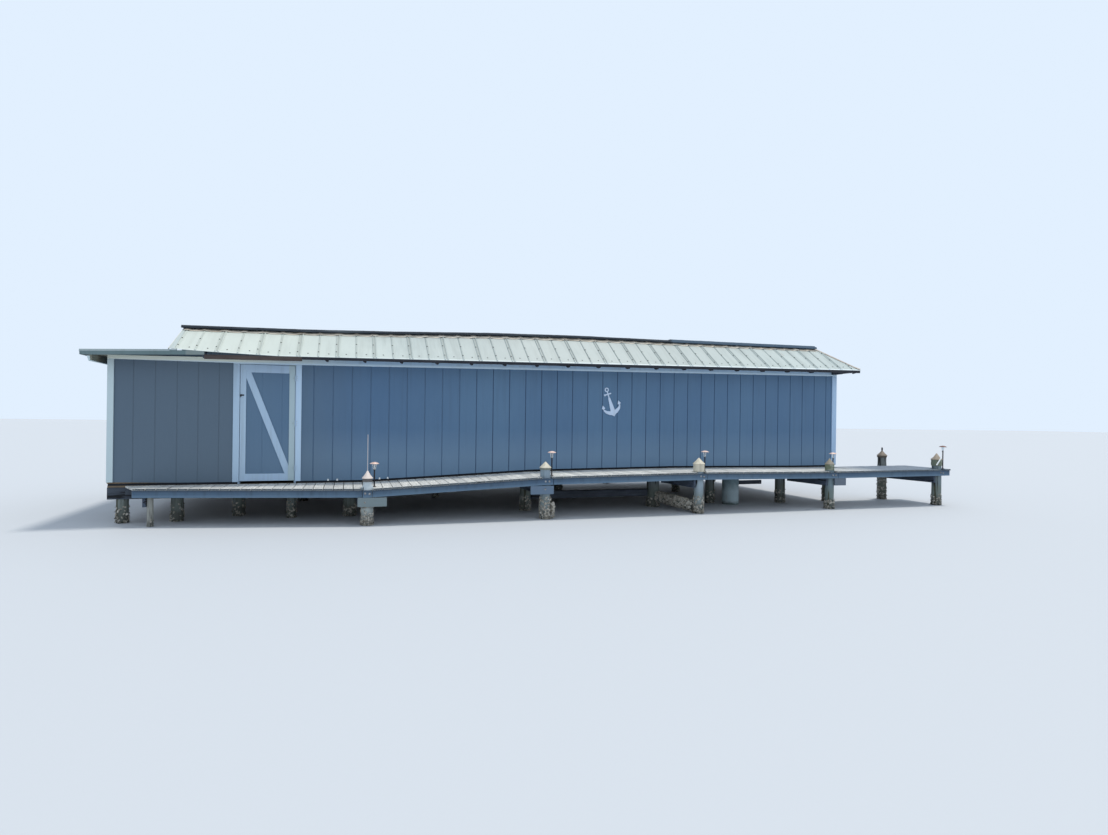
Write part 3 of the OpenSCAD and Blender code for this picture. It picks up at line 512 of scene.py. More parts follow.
# Bare weathered timber. Tones: dark, light, stain, crack.
def bareTimber(name, look):
    look = {"cracks": 0.6, "patch": 2.5, "vary": 0.6, "bump": 0.6, "zones": (), "levels": (), **look}
    dark, light, stain, crack = look["tones"].split()
    tree, shader, where = newFinish(name, 0.8, level=0.3)
    lines = placed(tree, grain, where, Stretch=look["grain"], Cracks=look["cracks"])
    colour = byBoard(tree, mixed(tree, lines["Lines"], dark, light), where, look)
    colour = washed(tree, colour, patchMask(tree, where, look["patch"], 0.38, 0.66), 0.5, stain)
    colour = byPlace(tree, colour, where, look["zones"])
    if "paintedShade" in look:  # painted shade: the deck goes bluer and darker from one place to the next
        x0, x1, tone = look["paintedShade"]
        far = spread(tree, split(tree, where)[0], home.x + x0, home.x + x1)
        colour = mixed(tree, far, colour, tone, "MULTIPLY")
    colour = mixed(tree, lines["Cracks"], colour, crack)
    for level, soft, ragged, share, tone in look["levels"]:  # bands below a height: tide, algae, wet foot
        colour = washed(tree, colour, belowMask(tree, where, level, soft, ragged, 12.0), share, tone)
    join(tree, colour, shader["Base Color"])
    join(tree, spread(tree, lines["Lines"], 0, 1, 0.65, 0.8), shader["Roughness"])
    bumped(tree, shader, lines["Height"], look["bump"], 0.004)


pileLook = {"tones": "60686a a4aaa8 6c726c 262626", "grain": (40, 40, 2.6), "patch": 5.0, "cracks": 0.58,
    "bump": 0.8, "levels": [(0.42, 0.06, 0.16, 0.4, "686c54"), (0.18, 0.05, 0.10, 0.6, "423e34"),
        (0.03, 0.02, 0.03, 0.7, "22201c")]}
timbers = {
    "darkTimberY": {"tones": "364050 586474 2c323c 16181e", "grain": (60, 3, 60)},
    "darkTimberX": {"tones": "323842 545c66 282c34 14161a", "grain": alongGrain},
    "studTimber": {"tones": "78644e a08a6c 645a4c 3c2e22", "grain": upGrain, "bump": 0.3, "cracks": 0.7},
    "eaveTimber": {"tones": "423836 625650 3a3638 221c1a", "grain": alongGrain, "cracks": 0.66},
    # near-black: painted shade under the eave, on the batten and rafter ends
    "eaveShadowDark": {"tones": "22242c 3a3a40 1c2028 101014", "grain": alongGrain, "cracks": 0.66},
    "soffitPaint": {"tones": "7a8076 9ca094 6e604c 3c342a", "grain": (60, 3, 60), "cracks": 0.68, "bump": 0.3},
    # its painted shade darkens the deck's far end
    "deckTimber": {"tones": "acadaa f2f0ea a0a09e 5e5e5c", "other": "a4a6a6", "grain": (70, 3, 70),
        "pitch": (0.147, 40, 40), "vary": 0.75, "start": (home.x - 0.075, -20, -20), "cracks": 0.66,
        "bump": 0.5, "paintedShade": (12.7, 14.0, "96a4b8")},
    # board ends: painted shade with darker end grain
    "deckEnds": {"tones": "4e565c 7a8286 464c50 2c2e30", "grain": (70, 20, 70), "cracks": 0.62},
    # near-black: painted shade of the gap under the siding
    "sillShadowDark": {"tones": "12161e 282c34 101218 080a0c", "grain": alongGrain},
    "floorTimber": {"tones": "605242 8c7a62 564c40 2e261e", "other": "746858", "grain": (3, 70, 70),
        "pitch": (40, 0.143, 40), "start": (-20, home.y + 0.01, -20), "cracks": 0.66, "bump": 0.4},
    "landPost": {"tones": "7a7c78 b2b2aa 888a84 3c3a36", "grain": (40, 40, 2.6), "patch": 5.0, "cracks": 0.62,
        "bump": 0.7, "levels": [(0.10, 0.05, 0.10, 0.6, "424236")]},
    "pileTimber": {**pileLook, "tones": "545e66 8e989e 6c726c 262626"},
    "deckPile": {**pileLook, "zones": [(3.5, 4.1, 0.1, "ced8de", 0.7), (6.4, 7.0, 0.1, "8a9caa", 0.75),
        (9.4, 10.0, 0.1, "96a8b6", 0.7), (12.3, 12.9, 0.1, "70848e", 0.75), (14.7, 15.1, 0.03, "6c6c68", 0.6),
        (15.15, 15.6, 0.03, "68787e", 0.65)]},
}
for name, look in timbers.items():
    bareTimber(name, look)


# Painted roof sheets: chalk, dirt that runs down the slope, rust. Tones: paint, chalk, dirt, rust.
def roofPaint(name, look):
    paint, chalk, dirt, rust = look["tones"].split()
    tree, shader, where = newFinish(name, 0.5)
    rusty = patchMask(tree, where, 1.0, look["rustLow"], look["rustLow"] + 0.08, look["rustStretch"])
    colour = mixed(tree, patchMask(tree, where, 1.6, 0.35, 0.68), paint, chalk)
    runs = patchMask(tree, where, 1.0, 0.48, 0.72, look["runStretch"])
    colour = washed(tree, colour, runs, look["runShare"], dirt)
    colour = byPlace(tree, washed(tree, colour, rusty, 0.5, rust), where, look.get("zones", ()))
    for pitch, half, soft, share in look.get("ribShadeBands", ()):  # painted shade between paired ribs and beside each rib
        past = sums(tree, "SUBTRACT", split(tree, where)[0], home.x + look["lapAt"])
        band = spread(tree, sums(tree, "PINGPONG", past, pitch / 2), half, half + soft, share, 0.0)
        colour = mixed(tree, band, colour, look["ribShadeTone"])
    if "drip" in look:  # the cut edge over the eave is paler, more so past the middle
        wide, tone = look["drip"]
        out = sums(tree, "ABSOLUTE", sums(tree, "SUBTRACT", split(tree, where)[1], home.y + depth / 2))
        edge = depth / 2 + 0.3 - wide
        past = spread(tree, split(tree, where)[0], home.x + 3.0, home.x + 12.0, 0.25, 0.8)
        colour = washed(tree, colour, past, spread(tree, out, edge, edge + 0.006), tone)
    join(tree, colour, shader["Base Color"])
    join(tree, spread(tree, rusty, 0, 1, look["rough"], 0.85), shader["Roughness"])
    bumped(tree, shader, placed(tree, specks, where, Scale=160.0, Size=0.3)["Height"], 0.08, 0.001)


sheetLook = {"tones": "b2bbb8 a8b2b0 828a87 96745a", "runStretch": (9, 0.8, 0.8), "rustStretch": (5, 1.6, 1.6),
    "rustLow": 0.70, "runShare": 0.45, "rough": 0.5}
stripLook = {"tones": "ccc0ae d8d0c2 8a7a6a 926c50", "runStretch": (6, 6, 6), "rustStretch": (9, 9, 9),
    "rustLow": 0.64, "runShare": 0.5, "rough": 0.55}
sheets = {
    "hipSheet": sheetLook,
    # its rib bands are painted shade between and beside the ribs
    "roofSheet": {**sheetLook, "zones": [(-1, 3.4, 1.2, "ccd0c4", 0.5), (5.0, 11.0, 1.2, "929996", 0.4)],
        "lapAt": 1.543, "ribShadeTone": "808682", "ribShadeBands": [(0.596, 0.004, 0.008, 0.4), (0.298, 0.016, 0.010, 0.14)],
        "drip": (0.028, "dee6e8")},
    "tanFlashing": stripLook,
    "hipStrap": {**stripLook, "tones": "9c9086 b0a69c 685c54 7a5846", "rustLow": 0.62},
}
for name, look in sheets.items():
    roofPaint(name, look)

# Rolled roofing: dark, gritty, with pale scuffs and dried puddles.
felts = {"roofFelt": (), "rollFelt": [(9.8, 13.6, 0.03, "546a7e", 0.6)]}
for name, zones in felts.items():
    tree, shader, where = newFinish(name, 0.85, level=0.3)
    grit = placed(tree, specks, where, Scale=260.0, Size=0.5)
    colour = mixed(tree, patchMask(tree, where, 0.7, 0.4, 0.62), "2e363e", "222830")
    colour = washed(tree, colour, patchMask(tree, where, 1.4, 0.52, 0.74, (0.8, 3, 6)), 0.55, "707a80")
    colour = washed(tree, colour, grit["Mask"], 0.3, "5c646a")
    join(tree, byPlace(tree, colour, where, zones), shader["Base Color"])
    bumped(tree, shader, grit["Height"], 0.35, 0.002)

# Concrete: cast, pitted, stained below.
tree, shader, where = newFinish("concreteRough", 0.85, level=0.3)
pits = placed(tree, specks, where, Scale=60.0, Size=0.2)
colour = mixed(tree, patchMask(tree, where, 6.0, 0.4, 0.66), "70868e", "8ea2aa")
# paler below 0.36 m: painted light, the upper part being in the deck's shade
colour = washed(tree, colour, belowMask(tree, where, 0.36, 0.10, 0.16, 9.0), 0.6, "c4d4d8")
colour = washed(tree, colour, patchMask(tree, where, 1.6, 0.6, 0.7, (5, 5, 0.6)), 0.5, "967458")
colour = mixed(tree, pits["Mask"], colour, "70726c")
colour = washed(tree, colour, belowMask(tree, where, 0.05, 0.03, 0.08, 12.0), 0.8, "3c4238")
join(tree, colour, shader["Base Color"])
bumped(tree, shader, pits["Height"], 0.6, 0.004)

# Oyster shells: chalky white rims, grey and brown bodies.
tree, shader, where = newFinish("oysterShell", 0.7, level=0.35)
chalky = patchMask(tree, where, 26.0, 0.42, 0.62)
colour = mixed(tree, chalky, "7c766c", "dedad0")
colour = washed(tree, colour, placed(tree, tones, where, Pitch=(0.04, 0.04, 0.04))["Tone"], 0.7, "968e80")
colour = washed(tree, colour, belowMask(tree, where, 0.07, 0.05, 0.1, 14.0), 0.55, "585448")
join(tree, colour, shader["Base Color"])
bumped(tree, shader, chalky, 0.5, 0.003)

# Small metal parts: two tones, roughness, metal share and size of the patches.
metals = {"zincScrew": ("aab0b4", "78685a", 0.4, 0.8, 40.0), "greyScrew": ("2e3234", "3e322c", 0.7, 0.0, 40.0),
          "hoodBrown": ("704a3e", "583e36", 0.45, 0.3, 24.0), "darkIron": ("22242a", "3e322c", 0.45, 0.6, 30.0),
          "copperCap": ("e2c8bc", "ccac9e", 0.4, 0.15, 24.0), "rustIron": ("78543c", "563e30", 0.7, 0.3, 22.0)}
for name, (tone, stain, rough, metal, scale) in metals.items():
    tree, shader, where = newFinish(name, rough, metal)
    mask = patchMask(tree, where, scale, 0.42, 0.62)
    join(tree, mixed(tree, mask, tone, stain), shader["Base Color"])
    join(tree, spread(tree, mask, 0, 1, rough, rough + 0.25), shader["Roughness"])
    bumped(tree, shader, placed(tree, specks, where, Scale=300.0, Size=0.4)["Height"], 0.15, 0.0006)

tree, shader, where = newFinish("lensClear", 0.08, level=0.5)
shader["Transmission Weight"].default_value, shader["IOR"].default_value = 0.85, 1.46
dust = patchMask(tree, where, 40.0, 0.4, 0.7)
join(tree, mixed(tree, dust, "e8f0f4", "c4d0d6"), shader["Base Color"])
join(tree, spread(tree, dust, 0, 1, 0.06, 0.35), shader["Roughness"])
print("finishes made:", len(bpy.data.materials))

# ---- siding: grooved sheets on studs ----
siding = {"groove": 0.016, "deep": 0.007, "shallow": 0.003, "bevel": 0.003, "sheet": 0.016, "pitch": 0.3048,
          "first": 2.960, "leftGrooves": (0.347, 0.644, 0.945, 1.241, 1.539), "studPitch": 0.6096,
          "studWide": 0.038, "gap": 0.034, "plate": 0.039}
wallThick = 0.095
doorLeft, doorRight = 1.819, 2.695
lowEnd = 1.0  # the low roof ends here


def wallTop(x):
    return 2.717 + rise * x


def lowTop(x):  # the land part of the wall stays under the low roof
    return lowAt(x) - 0.0403 if x < lowEnd else wallTop(x)


def plateFoot(x):
    return deckAt(x) + siding["gap"]


def wallFoot(x):  # the sheets are cut a little higher at the land corner
    return max(plateFoot(x), 0.634 - 0.022 * x)


def addSiding(shape, u0, u1, foot, top, grooves, breaks, place, back=siding["sheet"], deep=siding["deep"]):
    half, bevel = siding["groove"] / 2, siding["bevel"]
    line = [(u0, 0.0), (u1, 0.0)] + [(b, 0.0) for b in breaks if u0 < b < u1]
    for g in grooves:
        if u0 + 0.02 < g < u1 - 0.02:
            line = [p for p in line if abs(p[0] - g) > half + 0.001 or p[0] in (u0, u1)]
            line += [(g - half, 0.0), (g - half + bevel, deep), (g + half - bevel, deep), (g + half, 0.0)]
    line.sort()
    verts = []
    for u, d in line:
        verts += [place(u, foot(u), d), place(u, top(u), d), place(u, top(u), back), place(u, foot(u), back)]
    mats = [0, 0]  # the two ends, then the face or a groove, the top, the bare inner side and the foot
    for u, d in line[1:]:
        mats += [2 if d > 0 else 0, 0, 1, 0]
    addStrip(shape, verts, mats)


def addStuds(shape, u0, u1, foot, top, breaks, place):
    wide, plate = siding["studWide"], siding["plate"]

    def addTimber(a, b, line0, up0, line1, up1):
        c = b - 1e-6
        outline = [(a, line0(a) + up0), (b, line0(c) + up0), (b, line1(c) + up1), (a, line1(a) + up1)]
        addPrism(shape, outline, siding["sheet"] + 0.0004, wallThick, place, 1)

    for bends, line0, up0, up1 in ((breaks, foot, 0, wide), ((lowEnd, lowEnd + 0.001), top, -plate, 0)):
        bends = sorted([u0, u1] + [b for b in bends if u0 < b < u1])
        for a, b in zip(bends, bends[1:]):
            if b - a > 0.05:
                addTimber(a, b, line0, up0, line0, up1)
    count = max(1, int((u1 - u0 - wide) / siding["studPitch"]))
    starts = [min(u0 + i * siding["studPitch"], u1 - wide) for i in range(count + 1)]
    for u in starts + ([u1 - wide] if u1 - wide - starts[-1] > 0.1 else []):
        addTimber(u, u + wide, foot, wide, top, -plate - 0.001)


def onEnd(x, step):  # outline in y and z on an end wall, third value inward
    return lambda a, b, c: (x + step * c, a, b)


def endTop(bend, low, high):  # an end wall's upper edge, under both slopes
    def top(y):
        return low + (high - low) * min(1, max(0, min(y, depth - y) - wallThick) / (bend - wallThick))
    return top


inner = wallLen - wallThick
waterLow = slopeAt(inner, wallThick) - 0.012
waterHigh = eaveAt(inner) + (topAt(wallLen) - eaveAt(wallLen)) * 0.405 / 0.56 - 0.012
waterBend = wallThick + (waterHigh - waterLow) * 0.75 / (topAt(inner) - eaveAt(inner))
waterTop = endTop(waterBend, waterLow, waterHigh)
upperTop = endTop(slopeIn, slopeAt(lowEnd, wallThick) - 0.04, topAt(lowEnd) - 0.008)

deckBreaks = [p[0] for p in deckLine]
stepBreaks = [lowEnd - 0.0005, lowEnd + 0.0005]
frontGrooves = list(siding["leftGrooves"]) + [siding["first"] + siding["pitch"] * i for i in range(35)]
backGrooves = [siding["pitch"] * i for i in range(1, 45)]
endGrooves = [0.10 + siding["pitch"] * i for i in range(16)]
walls = [
    ("sidingFrontLeft", "front_wall_left", 0.0, doorLeft, wallFoot, lowTop, frontGrooves, stepBreaks, onFront),
    ("sidingFrontRight", "front_wall_right", doorRight, wallLen, wallFoot, wallTop, frontGrooves, deckBreaks,
     onFront),
    ("sidingOverDoor", "wall_over_door", doorLeft, doorRight, lambda x: 2.54, wallTop, frontGrooves, [],
     onFront),
    ("sidingBack", "back_wall", 0.0, wallLen, wallFoot, lowTop, backGrooves, stepBreaks + deckBreaks,
     lambda a, b, c: (a, depth - c, b)),
    ("sidingLandEnd", "land_end_wall", 0.017, depth - 0.017, lambda y: 0.634, lambda y: 2.5877, endGrooves, [],
     onEnd(0, 1)),
    ("sidingWaterEnd", "water_end_wall", wallThick, depth - wallThick, lambda y: wallFoot(wallLen), waterTop,
     endGrooves, [waterBend, depth - waterBend], onEnd(wallLen, -1)),
    ("sidingUpperEnd", "upper_end_wall", wallThick, depth - wallThick, lambda y: 2.6703, upperTop, endGrooves,
     [slopeIn, depth - slopeIn], onEnd(lowEnd, 1)),
]
for name, node, u0, u1, foot, top, grooves, breaks, place in walls:
    shape = newShape()
    faint = name in ("sidingFrontLeft", "sidingLandEnd")
    addSiding(shape, u0, u1, foot, top, grooves, breaks, place, deep=siding["shallow" if faint else "deep"])
    low = plateFoot if foot is wallFoot else (lambda y: 0.612) if node == "land_end_wall" else foot
    addStuds(shape, u0 + 0.0005, u1 - 0.0005, low, top, breaks, place)
    # the groove faces get a darker finish: painted shade in the grooves
    finish = "sidingPaint studTimber " + ("paleGrooveShade" if faint else "grooveShade")
    makePiece(name, shape, finish, [node])
print("siding done")


# ---- door and trims: grooved panel behind the frame boards ----
def bothSides(y0, y1):  # a stretch at the front, and the same one at the back
    return (y0, y1), (depth - y1, depth - y0)


def trimLow(x):
    return 2.49 + rise * x


door = {"left": 1.845, "wide": 0.824, "foot": 0.622, "high": 1.892, "grooves": (2.174, 2.476), "sheet": 0.026}
shape = newShape()
addSiding(shape, door["left"], door["left"] + door["wide"], lambda x: door["foot"],
    lambda x: door["foot"] + door["high"], door["grooves"], [], onFront, door["sheet"], siding["shallow"])
makePiece("doorSheet", shape, "doorPaint studTimber doorPaint", ["door_panel"], body="door")
dressNodes("door_frame_boards door_brace", "trimPaint", 0.0025)
shape = newShape()  # strip under the top rail, a little proud
addBlock(shape, (1.9335, -0.0125, 2.386), (2.5805, -0.0002, 2.4315))
makePiece("railStrip", shape, "trimPaint", body="door", round=0.002)
dressNodes("door_jamb door_casing", "trimPaint", 0.003)

trim = {"thick": 0.02, "wide": 0.095, "high": 0.096, "landWide": 0.087, "landEdge": 2.527, "bay": 1.7435}
wide, end = trim["wide"], wallLen + trim["thick"]
shape, longTrim = newShape(), newShape()
for y0, y1 in bothSides(-trim["thick"], 0):
    addBlock(shape, (0, y0, 0.632), (trim["landWide"], y1, trim["landEdge"]))
    addBlock(shape, (wallLen - wide, y0, plateFoot(wallLen)), (end, y1, trimLow(wallLen - wide)))
    z0, z1 = trimLow(0) + trim["high"], trimLow(end) + trim["high"]
    addPrism(longTrim, [(0, trim["landEdge"]), (trim["bay"], trim["landEdge"] + 0.002), (trim["bay"],
        trimLow(trim["bay"])), (end, trimLow(end)), (end, z1), (0, z0)], y0, y1, onFront)
for y0, y1 in bothSides(0.0005, wide):  # round the water corners
    addBlock(shape, (wallLen + 0.0005, y0, plateFoot(wallLen)), (end, y1, trimLow(wallLen - wide)))
makePiece("cornerBoards", shape, "trimPaint", ["corner_trims"], round=0.003)
makePiece("topTrim", longTrim, "trimLongPaint", ["top_trim"], round=0.003)


def addScrew(shape, profile, count, place, turn=0.0):  # in a face that looks outward at the front
    addLathe(shape, profile, count, standAt(place, (0, -1, 0), turn))


hinge = {"x": 2.672, "heights": (0.782, 1.523, 2.264),
         "fixedScrew": [(0.005, -0.0004), (0.005, 0.0012), (0.003, 0.002), (0, 0.002)],
         "movingScrew": [(0.0048, -0.0004), (0.0048, 0.0012), (0.003, 0.002), (0, 0.002)]}
fixed, moving = newShape(), newShape()
for z in hinge["heights"]:
    for dz in (0.014, 0.045, 0.076):
        addScrew(fixed, hinge["fixedScrew"], 10, (hinge["x"] + 0.028, -0.0230, z + dz))
    addScrew(moving, hinge["movingScrew"], 10, (hinge["x"] - 0.030, -0.0150, z + 0.045))
makePiece("hingeScrewsFixed", fixed, "zincScrew", smooth=30)
makePiece("hingeScrewsMoving", moving, "zincScrew", body="door", smooth=30)
dressNodes("hinge_fixed hinge_moving", "trimPaint")

# The latch: a hasp plate with its staple and a round eye.
latch = {"x": 1.846, "y": -0.017, "z": 2.003, "wide": 0.058, "thick": 0.005}
x, y, z = latch["x"], latch["y"], latch["z"]
shape = newShape()
addSloped(shape, x, x + latch["wide"], lambda u: z, (0, 0.002), (0.022, 0.020), y, y + latch["thick"])
rings = []
for k in range(9):
    a = pi * k / 8
    bar = standAt((x + 0.015 + 0.007 * cos(a), y - 0.026 * sin(a), z + 0.011), (-sin(a), -cos(a) * 1.6, 0))
    rings.append([bar @ Vector((0.003 * cb, 0.003 * sb, 0)) for cb, sb in circle(8)])
addLoft(shape, rings)
for dx, dz in ((0.034, 0.006), (0.034, 0.016), (0.050, 0.011)):
    addScrew(shape, [(0.003, 0), (0.003, 0.001), (0, 0.0018)], 8, (x + dx, y, z + dz))
addLathe(shape, [(0.009, -0.004), (0.0105, -0.002), (0.0105, 0.006), (0.008, 0.010), (0, 0.012)], 14,
         standAt((x + 0.015, y - 0.023, z - 0.004), (0, -0.3, -1)))
makePiece("doorHasp", shape, "darkIron", ["door_latch"], body="door", smooth=35)
print("door done")

# ---- metal roof: screws, flashings, roll ----
dressNodes("metal_slope_front metal_slope_back", "roofSheet")
dressNodes("metal_hip_end", "hipSheet")
trees = []
for name in ("metal_slope_front", "metal_slope_back", "metal_hip_end"):
    mesh = nodes[name].data
    points, faces = [tuple(v.co) for v in mesh.vertices], [tuple(f.vertices) for f in mesh.polygons]
    trees.append(BVHTree.FromPolygons(points, faces))

roof = {"firstRib": 0.99, "ribStart": 0.947, "ribPitch": 0.298, "ribHalfGap": 0.023, "ribs": 44,
        "screwRuns": (0.16, 0.50, 0.87), "panScrew": 0.13,
        "screw": [(0.0125, -0.001), (0.0125, 0.0015), (0.0070, 0.0022), (0.0060, 0.0062), (0.0050, 0.0068),
                  (0, 0.0068)]}
rnd = random.Random(4)


def addRoofScrew(shape, x, y):
    hits = [t.ray_cast(home + Vector((x, y, 6)), Vector((0, 0, -1))) for t in trees]
    best = max((h for h in hits if h[0] is not None), key=lambda h: h[0].z, default=None)
    if best and best[1].z > 0.3:
        addLathe(shape, roof["screw"], 7, standAt(best[0] - home, best[1], rnd.uniform(0, 1)))


ribXs, screwXs = [roof["firstRib"]], [roof["firstRib"]]  # a single rib, then a pair where two sheets lap
for i in range(1, roof["ribs"]):
    x = roof["ribStart"] + roof["ribPitch"] * i
    pair = [x] if i % 2 else [x - roof["ribHalfGap"], x + roof["ribHalfGap"]]
    ribXs += pair
    screwXs.append(pair[0])
shape = newShape()
for side in sides:
    for x in screwXs:
        reach = min(1, (hipX - x - 0.03) / 0.56)
        spots = [(x, -eaveOut + (0.75 * run + rnd.uniform(-0.014, 0.014)) * reach) for run in roof["screwRuns"]]
        spots.append((x + 0.16, -eaveOut + 0.75 * roof["panScrew"] + rnd.uniform(-0.008, 0.008)))
        for sx, y in spots:
            addRoofScrew(shape, sx, sideY(y, side))
for i in range(17):
    for run in (0.05, 0.26, 0.44):
        y = 0.05 + 0.296 * i
        if min(y, depth - y) + 0.3 > run * 1.5:
            addRoofScrew(shape, hipX - run, y)
makePiece("roofScrews", shape, "greyScrew", smooth=30)

# Flashing along the foot of the roll: it lies on the ribs and sags between them.
flashing = {"from": 0.94, "to": 13.37, "step": 0.02, "edge": 0.362, "back": slopeIn - 0.02, "thick": 0.0016}
shape, length = newShape(), flashing["to"] - flashing["from"]
count = int(length / flashing["step"])
for side in sides:
    verts = []
    for i in range(count + 1):
        x = flashing["from"] + length * i / count
        near = min(abs(x - r) for r in ribXs)
        lift = 0.006 + 0.012 * max(0, 1 - max(0, near - 0.012) / 0.05)
        edge = flashing["edge"] + 0.010 * bumps(x * 4.5, side, 3) + 0.005 * sin(x * 21)
        back, thick = flashing["back"], flashing["thick"]
        for y, up in ((edge, 0), (edge, thick), (back, thick), (back, 0)):
            verts.append((x, sideY(y, side), slopeAt(x, y) + lift + up + 0.003 * bumps(x * 9, y * 9, side)))
    addStrip(shape, verts)
makePiece("rollFlashing", shape, "tanFlashing", smooth=40)

# Strips over the hips, with a turned up end at the corner.
hip = {"half": 0.055, "over": 0.019, "thick": 0.002, "endLift": 0.012}
shape = newShape()
low = Vector((hipX - 0.004, -eaveOut + 0.004, eaveAt(hipX)))
high = Vector((hipTop, slopeIn, topAt(hipTop)))
for side in sides:
    rows = []
    for k in range(15):
        t = k / 14
        c = low.lerp(high, t)
        lift = hip["over"] + hip["endLift"] * max(0, 1 - t * 9) + 0.002 * bumps(t * 9, side, 0)
        grow = hip["half"] * (1 + 0.12 * bumps(t * 6, 4, side))
        a = Vector((-grow * 0.82, grow * 0.1, lift * 0.7))
        if t < 0.9 and c.x + a.x < hipTop:
            a.z += slopeAt(c.x + a.x, c.y + a.y) - c.z
        b = Vector((grow * 0.15, grow * 1.1, min(0.02, lift - hip["half"] * 0.15)))
        row = [c + a, c + Vector((0, 0, lift)), c + b]
        row += [p - Vector((0, 0, hip["thick"])) for p in reversed(row)]
        rows.append([(p.x, sideY(p.y, side), p.z) for p in row])
    addLoft(shape, rows)
makePiece("hipStrips", shape, "hipStrap", smooth=50)

# Folded strip over the raked edge at the land end: pale above, its outer face tan.
rake = {"top": ((0.9660, 0.0030), (0.9665, 0.0005)),
        "face": ((-0.0020, -0.0260), (-0.0020, 0.0034), (0.0030, 0.0036), (0.0030, 0.0032), (-0.0003, 0.0030),
                 (-0.0003, -0.0260))}
shape = newShape()
for side in sides:
    top, face = [], []
    for k in range(11):
        y = -eaveOut + 0.001 + (slopeIn + eaveOut - 0.03) * k / 10
        z, yy, x = slopeAt(roofX0, y), sideY(y, side), 0.9215 - 0.0375 * (1 - k / 10)
        top.append([(u, yy, z + up) for u, up in ((x, 0.0005), (x, 0.0030), *rake["top"])])
        face.append([(x + du, yy, z + up) for du, up in rake["face"]])
    addLoft(shape, top, 0)
    addLoft(shape, face, 1)
makePiece("rakeStrips", shape, "hipSheet tanFlashing", smooth=40)

# The dark roll along the upper edge: lumpy felt, doubled by a lap at the water end.
roll = {"step": 0.05, "full": (0.90, hipTop - 0.020, -0.072, 0.062, 0.018, 0.064, 1.0),
        "lap": (9.80, hipTop - 0.060, -0.058, 0.118, 0.050, 0.083, 7.0)}


def addRoll(shape, x0, x1, y0, y1, z0, z1, seed, side):
    rows, count = [], int((x1 - x0) / roll["step"])
    for i in range(count + 1):
        x = x0 + (x1 - x0) * i / count
        wave = bumps(x * 2.3, seed, side) * 0.5 + bumps(x * 9, seed, side) * 0.5
        fine = bumps(x * 19, seed + 5, side)
        high = z1 - 0.006 + 0.006 * wave
        front = y0 + 0.010 * wave + 0.004 * fine
        row = [(front, z0 - 0.010 + 0.006 * fine), (front + 0.004, z0 + 0.010),
               (front + 0.012, z0 + 0.65 * (high - z0)), (front + 0.030, high - 0.004),
               (0.5 * (y0 + y1), high + 0.003 * fine), (y1 - 0.03, high - 0.003),
               (y1 - 0.008, z0 + 0.6 * (high - z0)), (y1, z0)]
        rows.append([(x, sideY(slopeIn + y, side), topAt(min(x, hipTop)) + z) for y, z in row])
    addLoft(shape, rows)


shape = newShape()
for run, side in (("full", 0), ("full", 1), ("lap", 0)):
    addRoll(shape, *roll[run], side)
makePiece("feltRoll", shape, "rollFelt", ["roof_roll"], smooth=50)

# Laps of the rolled roofing across the flat roof.
lap = {"from": 1.45, "pitch": 0.98, "count": 12,
       "row": ((0, 0.0235), (0, 0.0272), (0.09, 0.0262), (0.095, 0.0235))}
shape = newShape()
for i in range(lap["count"]):
    x, rows = lap["from"] + lap["pitch"] * i, []
    for k in range(25):
        y = slopeIn + 0.07 + (depth - 2 * slopeIn - 0.14) * k / 24
        dx = 0.006 * bumps(x, y * 2, 0)
        rows.append([(x + u + dx, y, topAt(x + u) + up) for u, up in lap["row"]])
    addLoft(shape, rows)
makePiece("roofLaps", shape, "roofFelt", smooth=40)
dressNodes("roof_deck low_roof", "roofFelt")
dressNodes("rafters", "darkTimberY", 0.002)
dressNodes("eave_boards", "eaveTimber", 0.002)

batten = {"from": 2.7905, "to": 13.955, "top": -0.0058, "foot": (-0.050, -0.060)}
shape = newShape()
for y0, y1 in bothSides(-0.2985, -0.2805):  # thin batten under the sheets' edge, past the deep eave board; near-black like the rafter ends, as painted shade under the eave
    addSloped(shape, batten["from"], batten["to"], eaveAt, batten["foot"], batten["top"], y0, y1)
z = eaveAt(13.94)
addBlock(shape, (13.9375, -0.28, z - 0.041), (13.9555, depth + 0.28, z - 0.0065))
for i in range(18):  # the rafters' cut ends under the batten
    x = wallLen - 0.22 - 0.599 * i
    z = eaveAt(x) - 0.048
    tail = [(x - 0.032, z), (x + 0.028, z), (x + 0.018, z - 0.026), (x - 0.004, z - 0.020)]
    for y0, y1 in bothSides(-0.28, -0.17):
        addPrism(shape, tail, y0, y1, onFront)
makePiece("eaveBattens", shape, "eaveShadowDark", round=0.002)
print("roof done")

# ---- low roof edge at the land end ----
low = {"land": -0.275, "high": 0.068, "end": 1.375, "thick": 0.02, "cut": (0.045, 0.055), "pinch": 1.178}
drip = {"start": low["land"] + 0.002, "end": 0.99, "faceEnd": 0.90, "wide": 0.05, "under": 0.0005,
        "over": 0.0165}
soffit = {"boards": 33, "pitch": 0.1634, "wide": 0.16, "reach": 0.279,
          "spans": ((-0.117, -0.0005), (-0.254, -0.157))}


def lowBoardTop(x):
    return min(lowAt(x), eaveAt(x) - 0.0056 if x >= roofX0 else 9)


